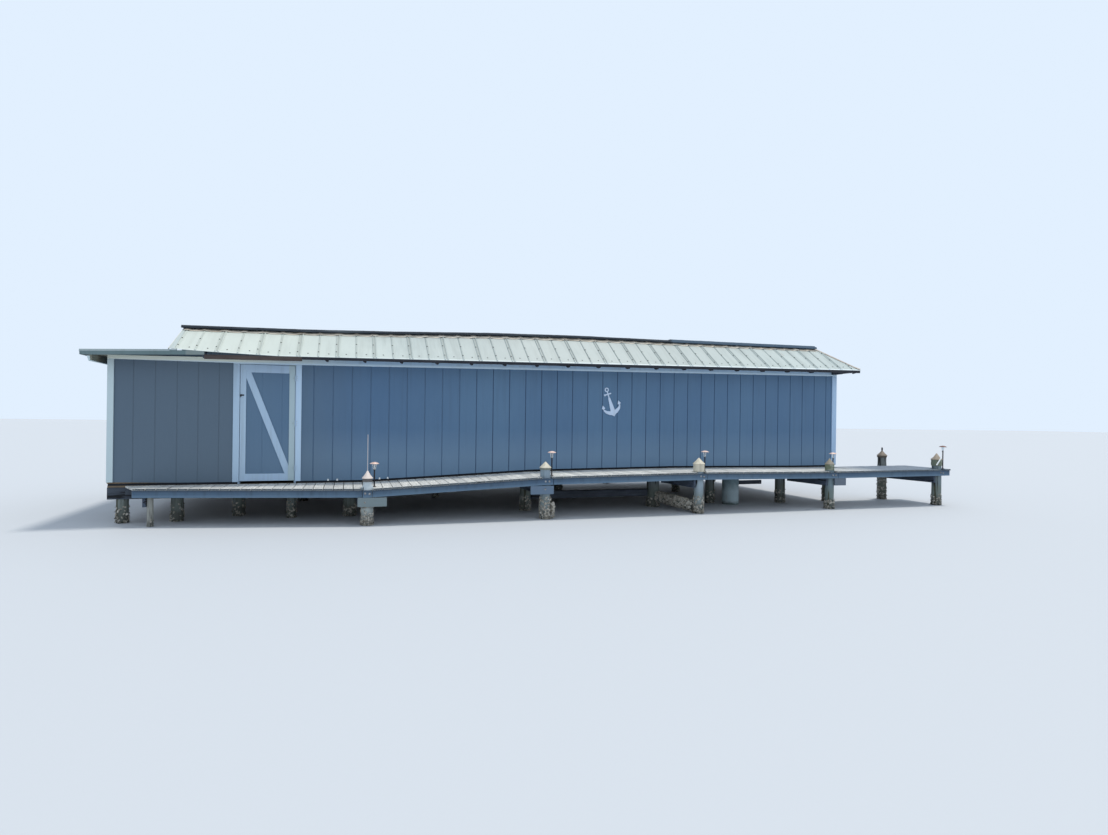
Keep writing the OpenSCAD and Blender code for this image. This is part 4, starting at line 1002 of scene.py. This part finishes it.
shape = newShape()
land, foot = low["land"], low["land"] + low["cut"][0]
board = [(land, lowAt(land) - low["high"] + low["cut"][1]), (foot, lowAt(foot) - low["high"]),
         (low["end"], lowAt(low["end"]) - low["high"])]
board += [(x, lowBoardTop(x) - 0.0002) for x in (low["end"], low["pinch"], land)]
for y0, y1 in bothSides(-eaveOut + 0.0015, -eaveOut + low["thick"]):
    addPrism(shape, board, y0, y1, onFront)
y = -eaveOut + 0.0205
addSloped(shape, land, land + low["thick"], lowAt, -0.062, -0.0005, y, depth - y)
makePiece("lowFasciaBoards", shape, "lowFasciaPaint", ["low_fascia"], round=0.002)
shape = newShape()
for y0, y1 in bothSides(-eaveOut, -eaveOut + drip["wide"]):
    addSloped(shape, drip["start"], drip["end"], lowAt, drip["under"], drip["over"], y0, y1)
for y0, y1 in bothSides(-eaveOut, -eaveOut + 0.0015):  # its thin face hangs over the boards
    addSloped(shape, drip["start"], drip["faceEnd"], lowAt, -0.012, drip["under"], y0, y1)
y = -eaveOut + drip["wide"]
addSloped(shape, drip["start"], land + drip["wide"], lowAt, drip["under"], (drip["over"], 0.0145), y, depth - y)
makePiece("lowRoofEdge", shape, "dripPaint")

shape = newShape()
addBlock(shape, (-0.156, -0.2795, 2.474), (-0.118, depth + 0.2795, 2.575))
for k in range(soffit["boards"]):  # between the beam and the wall, and a strip outside it
    y = -soffit["reach"] + soffit["pitch"] * k
    for x0, x1 in soffit["spans"]:
        addSloped(shape, x0, x1, lowAt, -0.05, -0.0405, y, min(y + soffit["wide"], depth + soffit["reach"]))
makePiece("overhangBeam", shape, "soffitPaint", round=0.002)
shape = newShape()
for y0, y1 in bothSides(-0.292, -0.28):
    addPrism(shape, [(-0.176, 2.540), (-0.142, 2.540), (-0.134, 2.470), (-0.158, 2.470)], y0, y1, onFront)
addBlock(shape, (-0.158, -soffit["reach"], 2.464), (-0.116, depth + soffit["reach"], 2.4735))  # along its foot
makePiece("overhangCheek", shape, "trimPaint", round=0.002)

# Tail of the hip rafter and the soffit block at the water corner.
tails = [(-0.285, -0.235, [(13.80, 2.812), (13.955, 2.816), (13.90, 2.775), (13.80, 2.75)]),
         (-0.22, -0.005, [(13.45, 2.735), (13.56, 2.737), (13.56, 2.79), (13.45, 2.79)])]
shape = newShape()
for near, far, outline in tails:
    for y0, y1 in bothSides(near, far):
        addPrism(shape, outline, y0, y1, onFront)
makePiece("hipTails", shape, "darkTimberX", round=0.002)
print("eaves done")

# ---- deck: boards across the walkway, notched round the piles ----
deck = {"pitch": 0.147, "gap": 0.010, "thick": 0.028, "out": 1.152, "in": 0.012, "slant": 0.48342,
        "slantFrom": 0.25, "start": -0.075, "taper": (0.890, 3.740, -0.570, -1.120), "notch": 0.106,
        "screwRows": (-0.601, -0.030), "screwIn": 0.028,
        "screw": [(0.0042, -0.001), (0.0042, 0.0002), (0, 0.0006)]}
endLevel = deckLine[-1][1]


def deckEdge(x):  # the walkway widens from the land end to the first deck pile
    x0, x1, y0, y1 = deck["taper"]
    return y0 + (y1 - y0) * (x - x0) / (x1 - x0) if x < x1 else -deck["out"]


def pastWall(x, y):
    return x + y * deck["slant"] - deck["slantFrom"]


def cutSlant(outline):  # the land end follows the sea wall
    kept = []
    for (ax, ay), (bx, by) in zip(outline, outline[1:] + outline[:1]):
        a, b = pastWall(ax, ay), pastWall(bx, by)
        if a >= 0:
            kept.append((ax, ay))
        if (a >= 0) != (b >= 0):
            t = a / (a - b)
            kept.append((ax + (bx - ax) * t, ay + (by - ay) * t))
    return kept


def boardEnd(x0, x1, uneven):  # a board's outer end, cut round a pile where one stands
    r, y0 = deck["notch"], deckEdge(x0) + uneven
    for px, py in outerPiles[1:]:
        us = [x0 + (x1 - x0) * k / 8 for k in range(9)]
        cut = [(u, py + sqrt(r * r - (u - px) ** 2)) for u in us if abs(u - px) < r]
        if cut:
            left, right = cut[0][0], cut[-1][0]
            before = [(x0, y0), (left, deckEdge(left) + uneven)] if left > x0 + 0.001 else []
            return before + cut + ([(right, y0), (x1, y0)] if right < x1 - 0.001 else [])
    return [(x0, y0), (x1, deckEdge(x1) + uneven)]


def takesScrew(u, y):
    clear = all((u - px) ** 2 + (y - py) ** 2 >= 0.02 for px, py in outerPiles[1:])
    return clear and pastWall(u, y) > 0.03 and y > deckEdge(u) + 0.04


rnd = random.Random(12)
boards, screws = newShape(), newShape()
x = deck["start"]
while x < deckEnd - 0.02:
    x0, x1 = x + deck["gap"] / 2, min(x + deck["pitch"] - deck["gap"] / 2, deckEnd)
    x += deck["pitch"]
    uneven, y1 = rnd.uniform(0, 0.006), -deck["in"] - rnd.uniform(0, 0.004)
    drop, cup = rnd.uniform(0, 0.0025), rnd.uniform(-0.0012, 0.0012)
    outline = cutSlant([(x0, y1)] + boardEnd(x0, x1, uneven) + [(x1, y1)])
    if len(outline) < 3:
        continue
    addPrism(boards, outline, -deck["thick"], 0.0, lambda u, y, z:
        (u, y, deckAt(u) + z - drop - 0.0003 + cup * (0.5 - abs((u - x0) / (x1 - x0) - 0.5))))
    for y in (deckEdge(x0) + 0.057, *deck["screwRows"]):
        for u in (x0 + deck["screwIn"], x1 - deck["screwIn"]):
            if x1 - x0 >= 0.1 and takesScrew(u, y):
                at = standAt((u, y + rnd.uniform(-0.006, 0.006), deckAt(u) - drop - 0.0002))
                addLathe(screws, deck["screw"], 6, at)
for i, face in enumerate(boards["faces"]):  # the sawn ends get a darker finish than the trodden tops: painted shade, as they face away from the sun, and darker end grain
    p, q, r = [Vector(boards["verts"][k]) for k in face[:3]]
    if len(face) == 4 and abs(p.z - r.z) > 0.01 and max(p.y, q.y, r.y) < deckEdge(p.x) + 0.03:
        boards["mats"][i] = 1
makePiece("deckBoards", boards, "deckTimber deckEnds", ["deck_boards"], round=0.0025, steps=1)
makePiece("deckScrews", screws, "rustIron")

indoor = {"count": 32, "first": 0.0115, "pitch": 0.1461, "wide": 0.143, "ends": (0.011, wallLen - 0.011)}
shape, bends = newShape(), deckBreaks[1:-1]
for i in range(indoor["count"]):  # boards of the floor inside, along the building
    y = indoor["first"] + indoor["pitch"] * i
    for a, b in zip([indoor["ends"][0]] + bends, bends + [indoor["ends"][1]]):
        addSloped(shape, a, b, deckAt, -0.028, -0.0004, y, y + indoor["wide"])
makePiece("floorBoards", shape, "floorTimber", ["floor"])
# the sill plates carry painted shade, the dark gap under the siding
dressNodes("sill_plates", "sillShadowDark")
dressNodes("floor_beams deck_stringers", "darkTimberX")
dressNodes("cross_beams", "darkTimberY", 0.003)
dressNodes("bolsters", "bolsterPaint", 0.003)

# Fascia boards, butted beside the piles, some a little proud, and bolts through them at each pile.
fascia = {"face": -1.138, "thick": 0.036, "top": -0.0284, "foot": -0.1388,
          "joints": (3.885, 6.815, 9.760, 12.68), "backs": (0.0, 0.0025, 0.0, 0.003, 0.001),
          "halfGap": 0.0035, "bolts": ((-0.034, -0.075), (0.031, -0.085)), "lowBolt": (-0.039, -0.215),
          "lowBolted": (3.81, 6.71),
          "bolt": [(0.016, -0.001), (0.016, 0.003), (0.010, 0.004), (0.010, 0.010), (0.008, 0.012), (0, 0.012)]}
rnd = random.Random(8)
shape = newShape()
foot, top, thick, end = fascia["foot"], fascia["top"], fascia["thick"], deckEnd - 0.0125
starts = [deck["taper"][1] + 0.0005] + [x + fascia["halfGap"] for x in fascia["joints"]]
for a, b, back in zip(starts, [x - fascia["halfGap"] for x in fascia["joints"]] + [end], fascia["backs"]):
    cuts = [a] + [x for x in deckBreaks if a < x < b] + [b]
    under = [(x, deckAt(x) + foot + rnd.uniform(0, 0.002)) for x in cuts]
    over = [(x, deckAt(x) + top) for x in reversed(cuts)]
    addPrism(shape, under + over, fascia["face"] + back, fascia["face"] + thick, onFront)
plan = [(x, deckEdge(x) + 0.014 + d) for x, d in ((0.2, 0), (3.735, 0), (3.735, thick), (0.2, thick))]
addPrism(shape, cutSlant(plan), deckAt(1) + foot, deckAt(1) + top)  # the slanted board of the narrow end
addSloped(shape, wallLen + 0.0605, end, deckAt, foot, top, -thick, 0.0)
addBlock(shape, (end - thick, fascia["face"] + 0.0365, endLevel + foot), (end, -0.0365, endLevel + top))
makePiece("fasciaBoards", shape, "fasciaPaint", ["deck_fascia"], round=0.0025)
shape = newShape()
rnd = random.Random(5)
for px, py in outerPiles[1:]:
    for dx, dz in (*fascia["bolts"], fascia["lowBolt"]):
        z = deckAt(px) + dz + rnd.uniform(-0.006, 0.006)
        if (dx, dz) != fascia["lowBolt"] or px in fascia["lowBolted"]:
            addScrew(shape, fascia["bolt"], 12, (px + dx, fascia["face"], z), rnd.uniform(0, 1))
makePiece("fasciaBolts", shape, "zincScrew", smooth=30)
print("deck done")

# ---- piles: split round timber with oysters on their feet ----
pile = {"sides": 30, "step": 0.05, "cracks": 9}


def addPile(shape, x, y, r, high, seed, neck=None):
    draw = random.Random(seed).uniform
    cracks = [(draw(0, 6.28), draw(0.02, 0.05), draw(0.006, 0.014), draw(-0.5, 0.5))
              for _ in range(pile["cracks"])]
    rows, count = [], max(3, int(high / pile["step"]))
    for k in range(count + 1):
        z = high * k / count
        girth = r + (neck[1] - r) * min(1, max(0, (z - neck[0]) / 0.05)) if neck else r
        row = []
        for i, (cx, cy) in enumerate(circle(pile["sides"])):
            cut = 0.004 * (1 + bumps(cx * 2.2, cy * 2.2, z * 1.3 + seed))
            cut += 0.0025 * (1 + bumps(cx * 9, cy * 9, z * 2.5 + seed))
            for turn, wide, deep, lean in cracks:
                off = abs((tau * i / pile["sides"] - turn - lean * z + pi) % tau - pi)
                cut += deep * max(0, 1 - off / (wide * 3)) * (0.6 + 0.4 * bumps(turn, z * 3, seed))
            row.append((x + (girth - cut) * cx, y + (girth - cut) * cy, z))
        rows.append(row)
    addLoft(shape, rows)


def addShell(shape, place, long, wide):
    n, rim = 8, []
    for cx, cy in circle(n):
        k = 1 + rnd.uniform(-0.14, 0.14)
        rim.append((cx * wide / 2 * k * (1 - 0.35 * cy), cy * long / 2 * k, rnd.uniform(-0.1, 0.12) * wide))
    verts = [place @ Vector(v) for v in rim + [(0, -long * 0.1, wide * 0.3), (0, 0, -wide * 0.14)]]
    for i, v in enumerate(verts):  # none below the piles' feet
        v.z = max(v.z, 0.0012 + 0.0006 * (i % 3))
    addMesh(shape, verts, [f for i in range(n) for f in ((i, (i + 1) % n, n), ((i + 1) % n, i, n + 1))])


def addCluster(shape, x, y, r, high, count, grow):
    for _ in range(count):
        a = rnd.uniform(0, tau)
        z = 0.004 + (high - 0.004) * rnd.random() ** 1.5
        out = Vector((cos(a), sin(a), rnd.uniform(-0.1, 0.7)))
        out += Vector((rnd.uniform(-0.7, 0.7), rnd.uniform(-0.7, 0.7), rnd.uniform(-0.3, 0.3)))
        size = rnd.uniform(0.024, 0.052) * grow
        at = standAt((x + r * cos(a), y + r * sin(a), z), out, rnd.uniform(0, 6.28))
        addShell(shape, at, size * 1.5, size)


def addTube(shape, r, z0, z1, at):
    addLathe(shape, [(r, z0), (r, z1)], 36, at)


# Each deck pile, then the back one: foot and neck radius and height over the deck, then its cap's brim
# radius, brim height and skirt depth. The third has a pale sleeve down to the deck in place of a skirt.
pileTops = [(.099, .070, .160, .0865, -.008, .054), (.096, .091, .135, .101, .010, .034),
            (.094, .095, .145, .1118, 0, 0), (.090, .083, .135, .0925, -.003, .118),
            (.0995, .097, .215, .1118, -.020, .130), (.0995, .096, .225, .1118, -.006, .040)]
timber, cones, skirts = newShape(), newShape(), newShape()
for i, (foot, neck, over, brim, up, skirt) in enumerate(pileTops):
    px, py = backPile if i == 5 else outerPiles[i + 1]
    under = endLevel if i == 5 else deckAt(px)
    high, wob = under + over, 0.003 * sin(i * 2.1)
    addPile(timber, px, py, foot, high - 0.001, 32 + i, (under + 0.01, neck))
    at = standAt((px, py, high), (wob, wob * 0.6, 1))
    cone = [(neck + 0.002, up - 0.004), (brim - 0.003, up - 0.004), (brim - 0.0005, up),
            (brim - 0.003, up + 0.006), (brim * 0.52, up + 0.052), (0.010, 0.106), (0.004, 0.1108), (0, 0.1113)]
    addLathe(cones, cone, 40, at)
    if skirt:
        addTube(skirts, neck + 0.0035, up - skirt, up - 0.0045, at)
        addTube(skirts, neck + 0.006, up - skirt * 0.72, up - skirt * 0.5, at)
    else:
        addTube(cones, neck + 0.0065, under - high + 0.004, -0.0045, at)
makePiece("outerTimberPiles", timber, "deckPile", ["outer_piles"], smooth=60)
shape = newShape()
addPile(shape, *outerPiles[0], 0.0495, 0.4385, 31)
makePiece("landPost", shape, "landPost", smooth=60)
makePiece("pileCones", cones, "capWhite", ["pile_caps"], smooth=38)
# the skirts' darker finish is painted shade under the brims
makePiece("pileSkirts", skirts, "capSkirtShaded", smooth=38)
shape = newShape()  # a pale batten left on the fifth pile, a short post on the back one
addPrism(shape, [(15.182, 0.846), (15.202, 0.834), (15.330, 0.990), (15.310, 1.004)], -1.116, -1.1025, onFront)
makePiece("paleBatten", shape, "clipWhite", round=0.002)
shape = newShape()
at = standAt((*backPile, endLevel + pileTops[5][2] + 0.108))
addLathe(shape, [(0.017, 0.0), (0.017, 0.058), (0.013, 0.066), (0, 0.068)], 14, at)
makePiece("capPost", shape, "darkIron", smooth=40)

# Rows of inner piles: how far in, how far their tops lie under the deck, then place and thickness of each.
innerRows = [(0.065, 0.208, [(0.2, .18), (0.95, .19), (2.63, .15), (3.55, .22), (6.65, .21), (9.26, .26),
                             (12.23, .22), (13.4, .16)]),
             (2.35, 0.208, [(2.66, .2), (5.29, .12), (8.0, .28), (11.0, .2)]),
             (4.635, 0.208, [(0.2, .18), (2.4, .18), (5.14, .15), (7.84, .2), (10.14, .17), (13.4, .2)]),
             (0.5, 0.028, [(1.77, .2)]), (0.33, 0.028, [(10.7, .2)])]
innerSpots = [(x, y, d / 2, min(deckAt(x - d / 2), deckAt(x + d / 2)) - under)
              for y, under, row in innerRows for x, d in row]
shape = newShape()
for k, (x, y, r, high) in enumerate(innerSpots):
    addPile(shape, x, y, r - 0.0005, high - 0.0005, 60 + k)
makePiece("innerTimberPiles", shape, "pileTimber", ["inner_piles"], smooth=60)

oysters = [(.047, .12, 12), (.098, .40, 320), (.098, .38, 420), (.098, .32, 340), (.098, .22, 160),
           (.098, .24, 130)]  # radius, height and count on each outer pile
rnd = random.Random(21)
shape = newShape()
for (x, y), (r, high, count) in zip(outerPiles, oysters):
    addCluster(shape, x, y, r, high, count, 0.55)
addCluster(shape, *backPile, 0.098, 0.62, 240, 0.7)
for x, y, r, _ in innerSpots:
    addCluster(shape, x, y, r, 0.28, 80, 0.7)
makePiece("pileOysters", shape, "oysterShell", smooth=70)

shape = newShape()
for _ in range(70):  # a chain of shells that hangs on the second deck pile's water side
    t = rnd.random()
    place = (6.71 + 0.125 + 0.02 * rnd.uniform(-1, 1), -1.055 + 0.03 * rnd.uniform(-1, 1), 0.03 + 0.25 * t)
    at = standAt(place, (rnd.uniform(-1, 1), -1, rnd.uniform(-0.6, 0.6)), rnd.uniform(0, 6.28))
    addShell(shape, at, rnd.uniform(0.03, 0.05), rnd.uniform(0.02, 0.034))
makePiece("oysterClump", shape, "oysterShell", smooth=70)

concrete = {"x": 11.02, "y": 0.065, "r": 0.1698, "sides": 40, "steps": 12}
shape, rows = newShape(), []
for k in range(concrete["steps"] + 1):  # a worn cylinder
    z, row = (deckAt(concrete["x"]) - 0.2085) * k / concrete["steps"], []
    for cx, cy in circle(concrete["sides"]):
        r = concrete["r"] - 0.003 * (1 + bumps(cx * 5, cy * 5, z * 6))
        r -= 0.010 * max(0, bumps(cx * 3, cy * 3, z * 9 + 4) - 0.2)
        row.append((concrete["x"] + r * cx, concrete["y"] + r * cy, z))
    rows.append(row)
addLoft(shape, rows)
makePiece("castPile", shape, "concreteRough", ["concrete_pile"], smooth=50)


# Split timbers along the wall: a low brace between two piles and a stub by the concrete pile.
def addRough(shape, lo, hi, seed, bite):
    rows, count = [], int((hi[0] - lo[0]) / 0.05)
    for k in range(count + 1):
        x, row = lo[0] + (hi[0] - lo[0]) * k / count, []
        for cx, cy in circle(24, 0.5):
            cut = 1 - bite * (0.5 + 0.5 * bumps(cx * 6, cy * 6, x * 1.2 + seed))
            cut -= bite * 0.4 * abs(bumps(cx * 2, cy * 14, x * 0.4 + seed))
            grow = cut / max(abs(cx), abs(cy))
            row.append((x, *[(lo[k] + hi[k] + (hi[k] - lo[k]) * c * grow) / 2 for k, c in ((1, cx), (2, cy))]))
        rows.append(row)
    addLoft(shape, rows)


shape = newShape()
addRough(shape, (6.76, 0.030, 0.205), (9.13, 0.100, 0.355), 3, 0.16)
addRough(shape, (11.191, 0.035, 0.395), (11.75, 0.080, 0.485), 8, 0.14)
makePiece("splitBraces", shape, "darkTimberX", ["low_beams"], smooth=45)

# The shell beam, from a wall pile to an outer one; it lies higher at the wall.
beam = {"from": (9.26, 0.065), "to": (9.655, -1.002), "foot": (0.110, 0.012), "high": 0.215, "wide": 0.18}
start = Vector((*beam["from"], 0))
span = Vector((*beam["to"], 0)) - start
length, run = span.length, span.normalized()
cross = Vector((-run.y, run.x, 0))


def onBeam(t, cx, cz, grow):  # a point round the beam, t along it
    s = 1 / max(abs(cx), abs(cz)) ** 0.7 * grow
    p = start + run * t + cross * (cx * s * beam["wide"])
    p.z = beam["foot"][0] + (beam["foot"][1] - beam["foot"][0]) * t / length + beam["high"] * (0.5 + cz * s)
    return p


shape, rows = newShape(), []
for k in range(19):
    t = 0.128 + (length - 0.128 - 0.102) * k / 18
    rows.append([onBeam(t, cx, cz, (0.93 - 0.12 * bumps(cx * 3, cz * 3, t * 6)) * 0.46)
                 for cx, cz in circle(24, 0.5)])
addLoft(shape, rows)
makePiece("shellBeamCore", shape, "pileTimber", ["shell_beam"], smooth=60)
shape = newShape()
for _ in range(900):
    t, a = 0.13 + (length - 0.24) * rnd.random(), rnd.uniform(0, tau)
    out = cross * cos(a) + Vector((0, 0, sin(a))) + Vector([rnd.uniform(-0.6, 0.6) for _ in range(3)])
    size = rnd.uniform(0.024, 0.050)
    addShell(shape, standAt(onBeam(t, cos(a), sin(a), 0.44), out, rnd.uniform(0, 6.28)), size * 1.5, size)
makePiece("beamOysters", shape, "oysterShell", smooth=70)
dressNodes("thin_rod", "capWhite")
print("piles done")

# ---- anchor on the wall: cast, with rounded arms and thin palms ----
anchor = {"x": 8.386, "z": 1.765, "tilt": 18.2, "thick": 0.014, "ringUp": 0.53, "ringR": 0.0325,
          "stockUp": 0.442,
          "stock": ((-0.070, 0.012), (-0.060, 0.0135), (0.0, 0.0150), (0.060, 0.0135), (0.068, 0.011)),
          "half": [(.048, .040), (.082, .050), (.152, .103), (.178, .155), (.183, .196), (.207, .204),
                   (.168, .268), (.133, .202), (.166, .186), (.152, .168), (.110, .138), (.046, .114),
                   (.021, .362), (.011, .372), (.011, .500)]}
tilt = Matrix.Rotation(-radians(anchor["tilt"]), 4, "Y")


def onAnchor(u, v, d):  # u across, v up the shank, d out from the wall
    p = tilt @ Vector((u, 0, v))
    return (anchor["x"] + p.x, -d, anchor["z"] + p.z)


shape = newShape()
outline = [(0, 0)] + anchor["half"] + [(-u, v) for u, v in reversed(anchor["half"])]
addPrism(shape, outline, 0.001, anchor["thick"] - 0.0005, onAnchor)
rows = []
for cx, cy in circle(28):
    rounds = [(anchor["ringR"] + 0.0122 * qx, 0.0078 + 0.0060 * qy) for qx, qy in circle(10)]
    rows.append([onAnchor(r * cx, anchor["ringUp"] + r * cy, d) for r, d in rounds])
addLoft(shape, rows, looped=True)
addLoft(shape, [[onAnchor(u, anchor["stockUp"] + r * qx, 0.0075 + 0.0062 * qy) for qx, qy in circle(12)]
    for u, r in anchor["stock"]])
ball = [(0.021 * sin(pi * k / 8), 0.0065 * -cos(pi * k / 8)) for k in range(9)]
addScrew(shape, ball, 16, onAnchor(-0.066, anchor["stockUp"], 0.0072))
makePiece("wallAnchor", shape, "anchorPaint", ["anchor"], round=0.003, smooth=45)

# ---- deck lights ----
light = {"spots": [(1, .107, .112, .391), (2, .129, .052, .421), (3, .154, .052, .386), (4, .125, .052, .358),
                   (5, .172, 0, .484)],
         "hood": [(0.020, -0.0270), (0.066, -0.0276), (0.0715, -0.0292), (0.0729, -0.0280), (0.0712, -0.0245),
                  (0.062, -0.0175), (0.046, -0.0105), (0.028, -0.0050), (0.015, -0.0020), (0.011, -0.001),
                  (0.006, -0.0002), (0, 0)],
         "lens": [(0.0272, -0.0295), (0.0276, -0.040), (0.0235, -0.072), (0.0185, -0.102), (0.0150, -0.118)],
         "collar": [(0.0115, -0.130), (0.0160, -0.1265), (0.0165, -0.1185), (0.0115, -0.1175)],
         "foot": [(0.030, 0.0), (0.030, 0.004), (0.014, 0.010), (0.0112, 0.016)], "glintRibR": 0.0034}
hoods, lenses, parts, ribs = newShape(), newShape(), newShape(), newShape()
for i, dx, dy, up in light["spots"]:
    x, y = outerPiles[i][0] + dx, outerPiles[i][1] + dy
    at = standAt((x, y, deckAt(x) + up), (0.02 * sin(i * 3), 0.02 * cos(i * 2), 1))
    addLathe(hoods, light["hood"], 32, at, 1 if i == 5 else 0)
    addLathe(lenses, light["lens"], 10, at)
    addLathe(parts, light["collar"], 20, at)
    addLathe(parts, light["foot"], 20, standAt((x, y, deckAt(x) + 0.0006)))
    for cx, cy in circle(4, 0.5):  # white ribs on the lens: painted glints, standing in for its bright highlights
        rows = []
        for r, z in light["lens"]:
            c = at @ Vector(((r + 0.001) * cx, (r + 0.001) * cy, z))
            rows.append([c + light["glintRibR"] * Vector((cos(q), sin(q), 0)) for q in (0.4, 2.0, 3.5, 5.1)])
        addLoft(ribs, rows)
makePiece("lightHoods", hoods, "copperCap hoodBrown", ["light_caps"], smooth=50)
makePiece("lightLenses", lenses, "lensClear", ["light_lenses"])
makePiece("lensGlintRibs", ribs, "clipWhite", smooth=60)
makePiece("lightFittings", parts, "darkIron", smooth=40)
dressNodes("light_stems", "darkIron")

shape = newShape()
for x in (3.20, 3.345, 4.035, 4.17):  # white clips at the foot of the siding
    z = wallFoot(x) - 0.004
    clip = [(x - 0.014, z), (x + 0.014, z), (x + 0.012, z + 0.030), (x - 0.012, z + 0.030)]
    addPrism(shape, clip, -0.016, 0.0, onFront)
    addScrew(shape, [(0.004, 0), (0.004, 0.002), (0, 0.003)], 8, (x, -0.016, z + 0.015))
makePiece("wallClips", shape, "clipWhite", round=0.0015)
print("anchor and lights done")
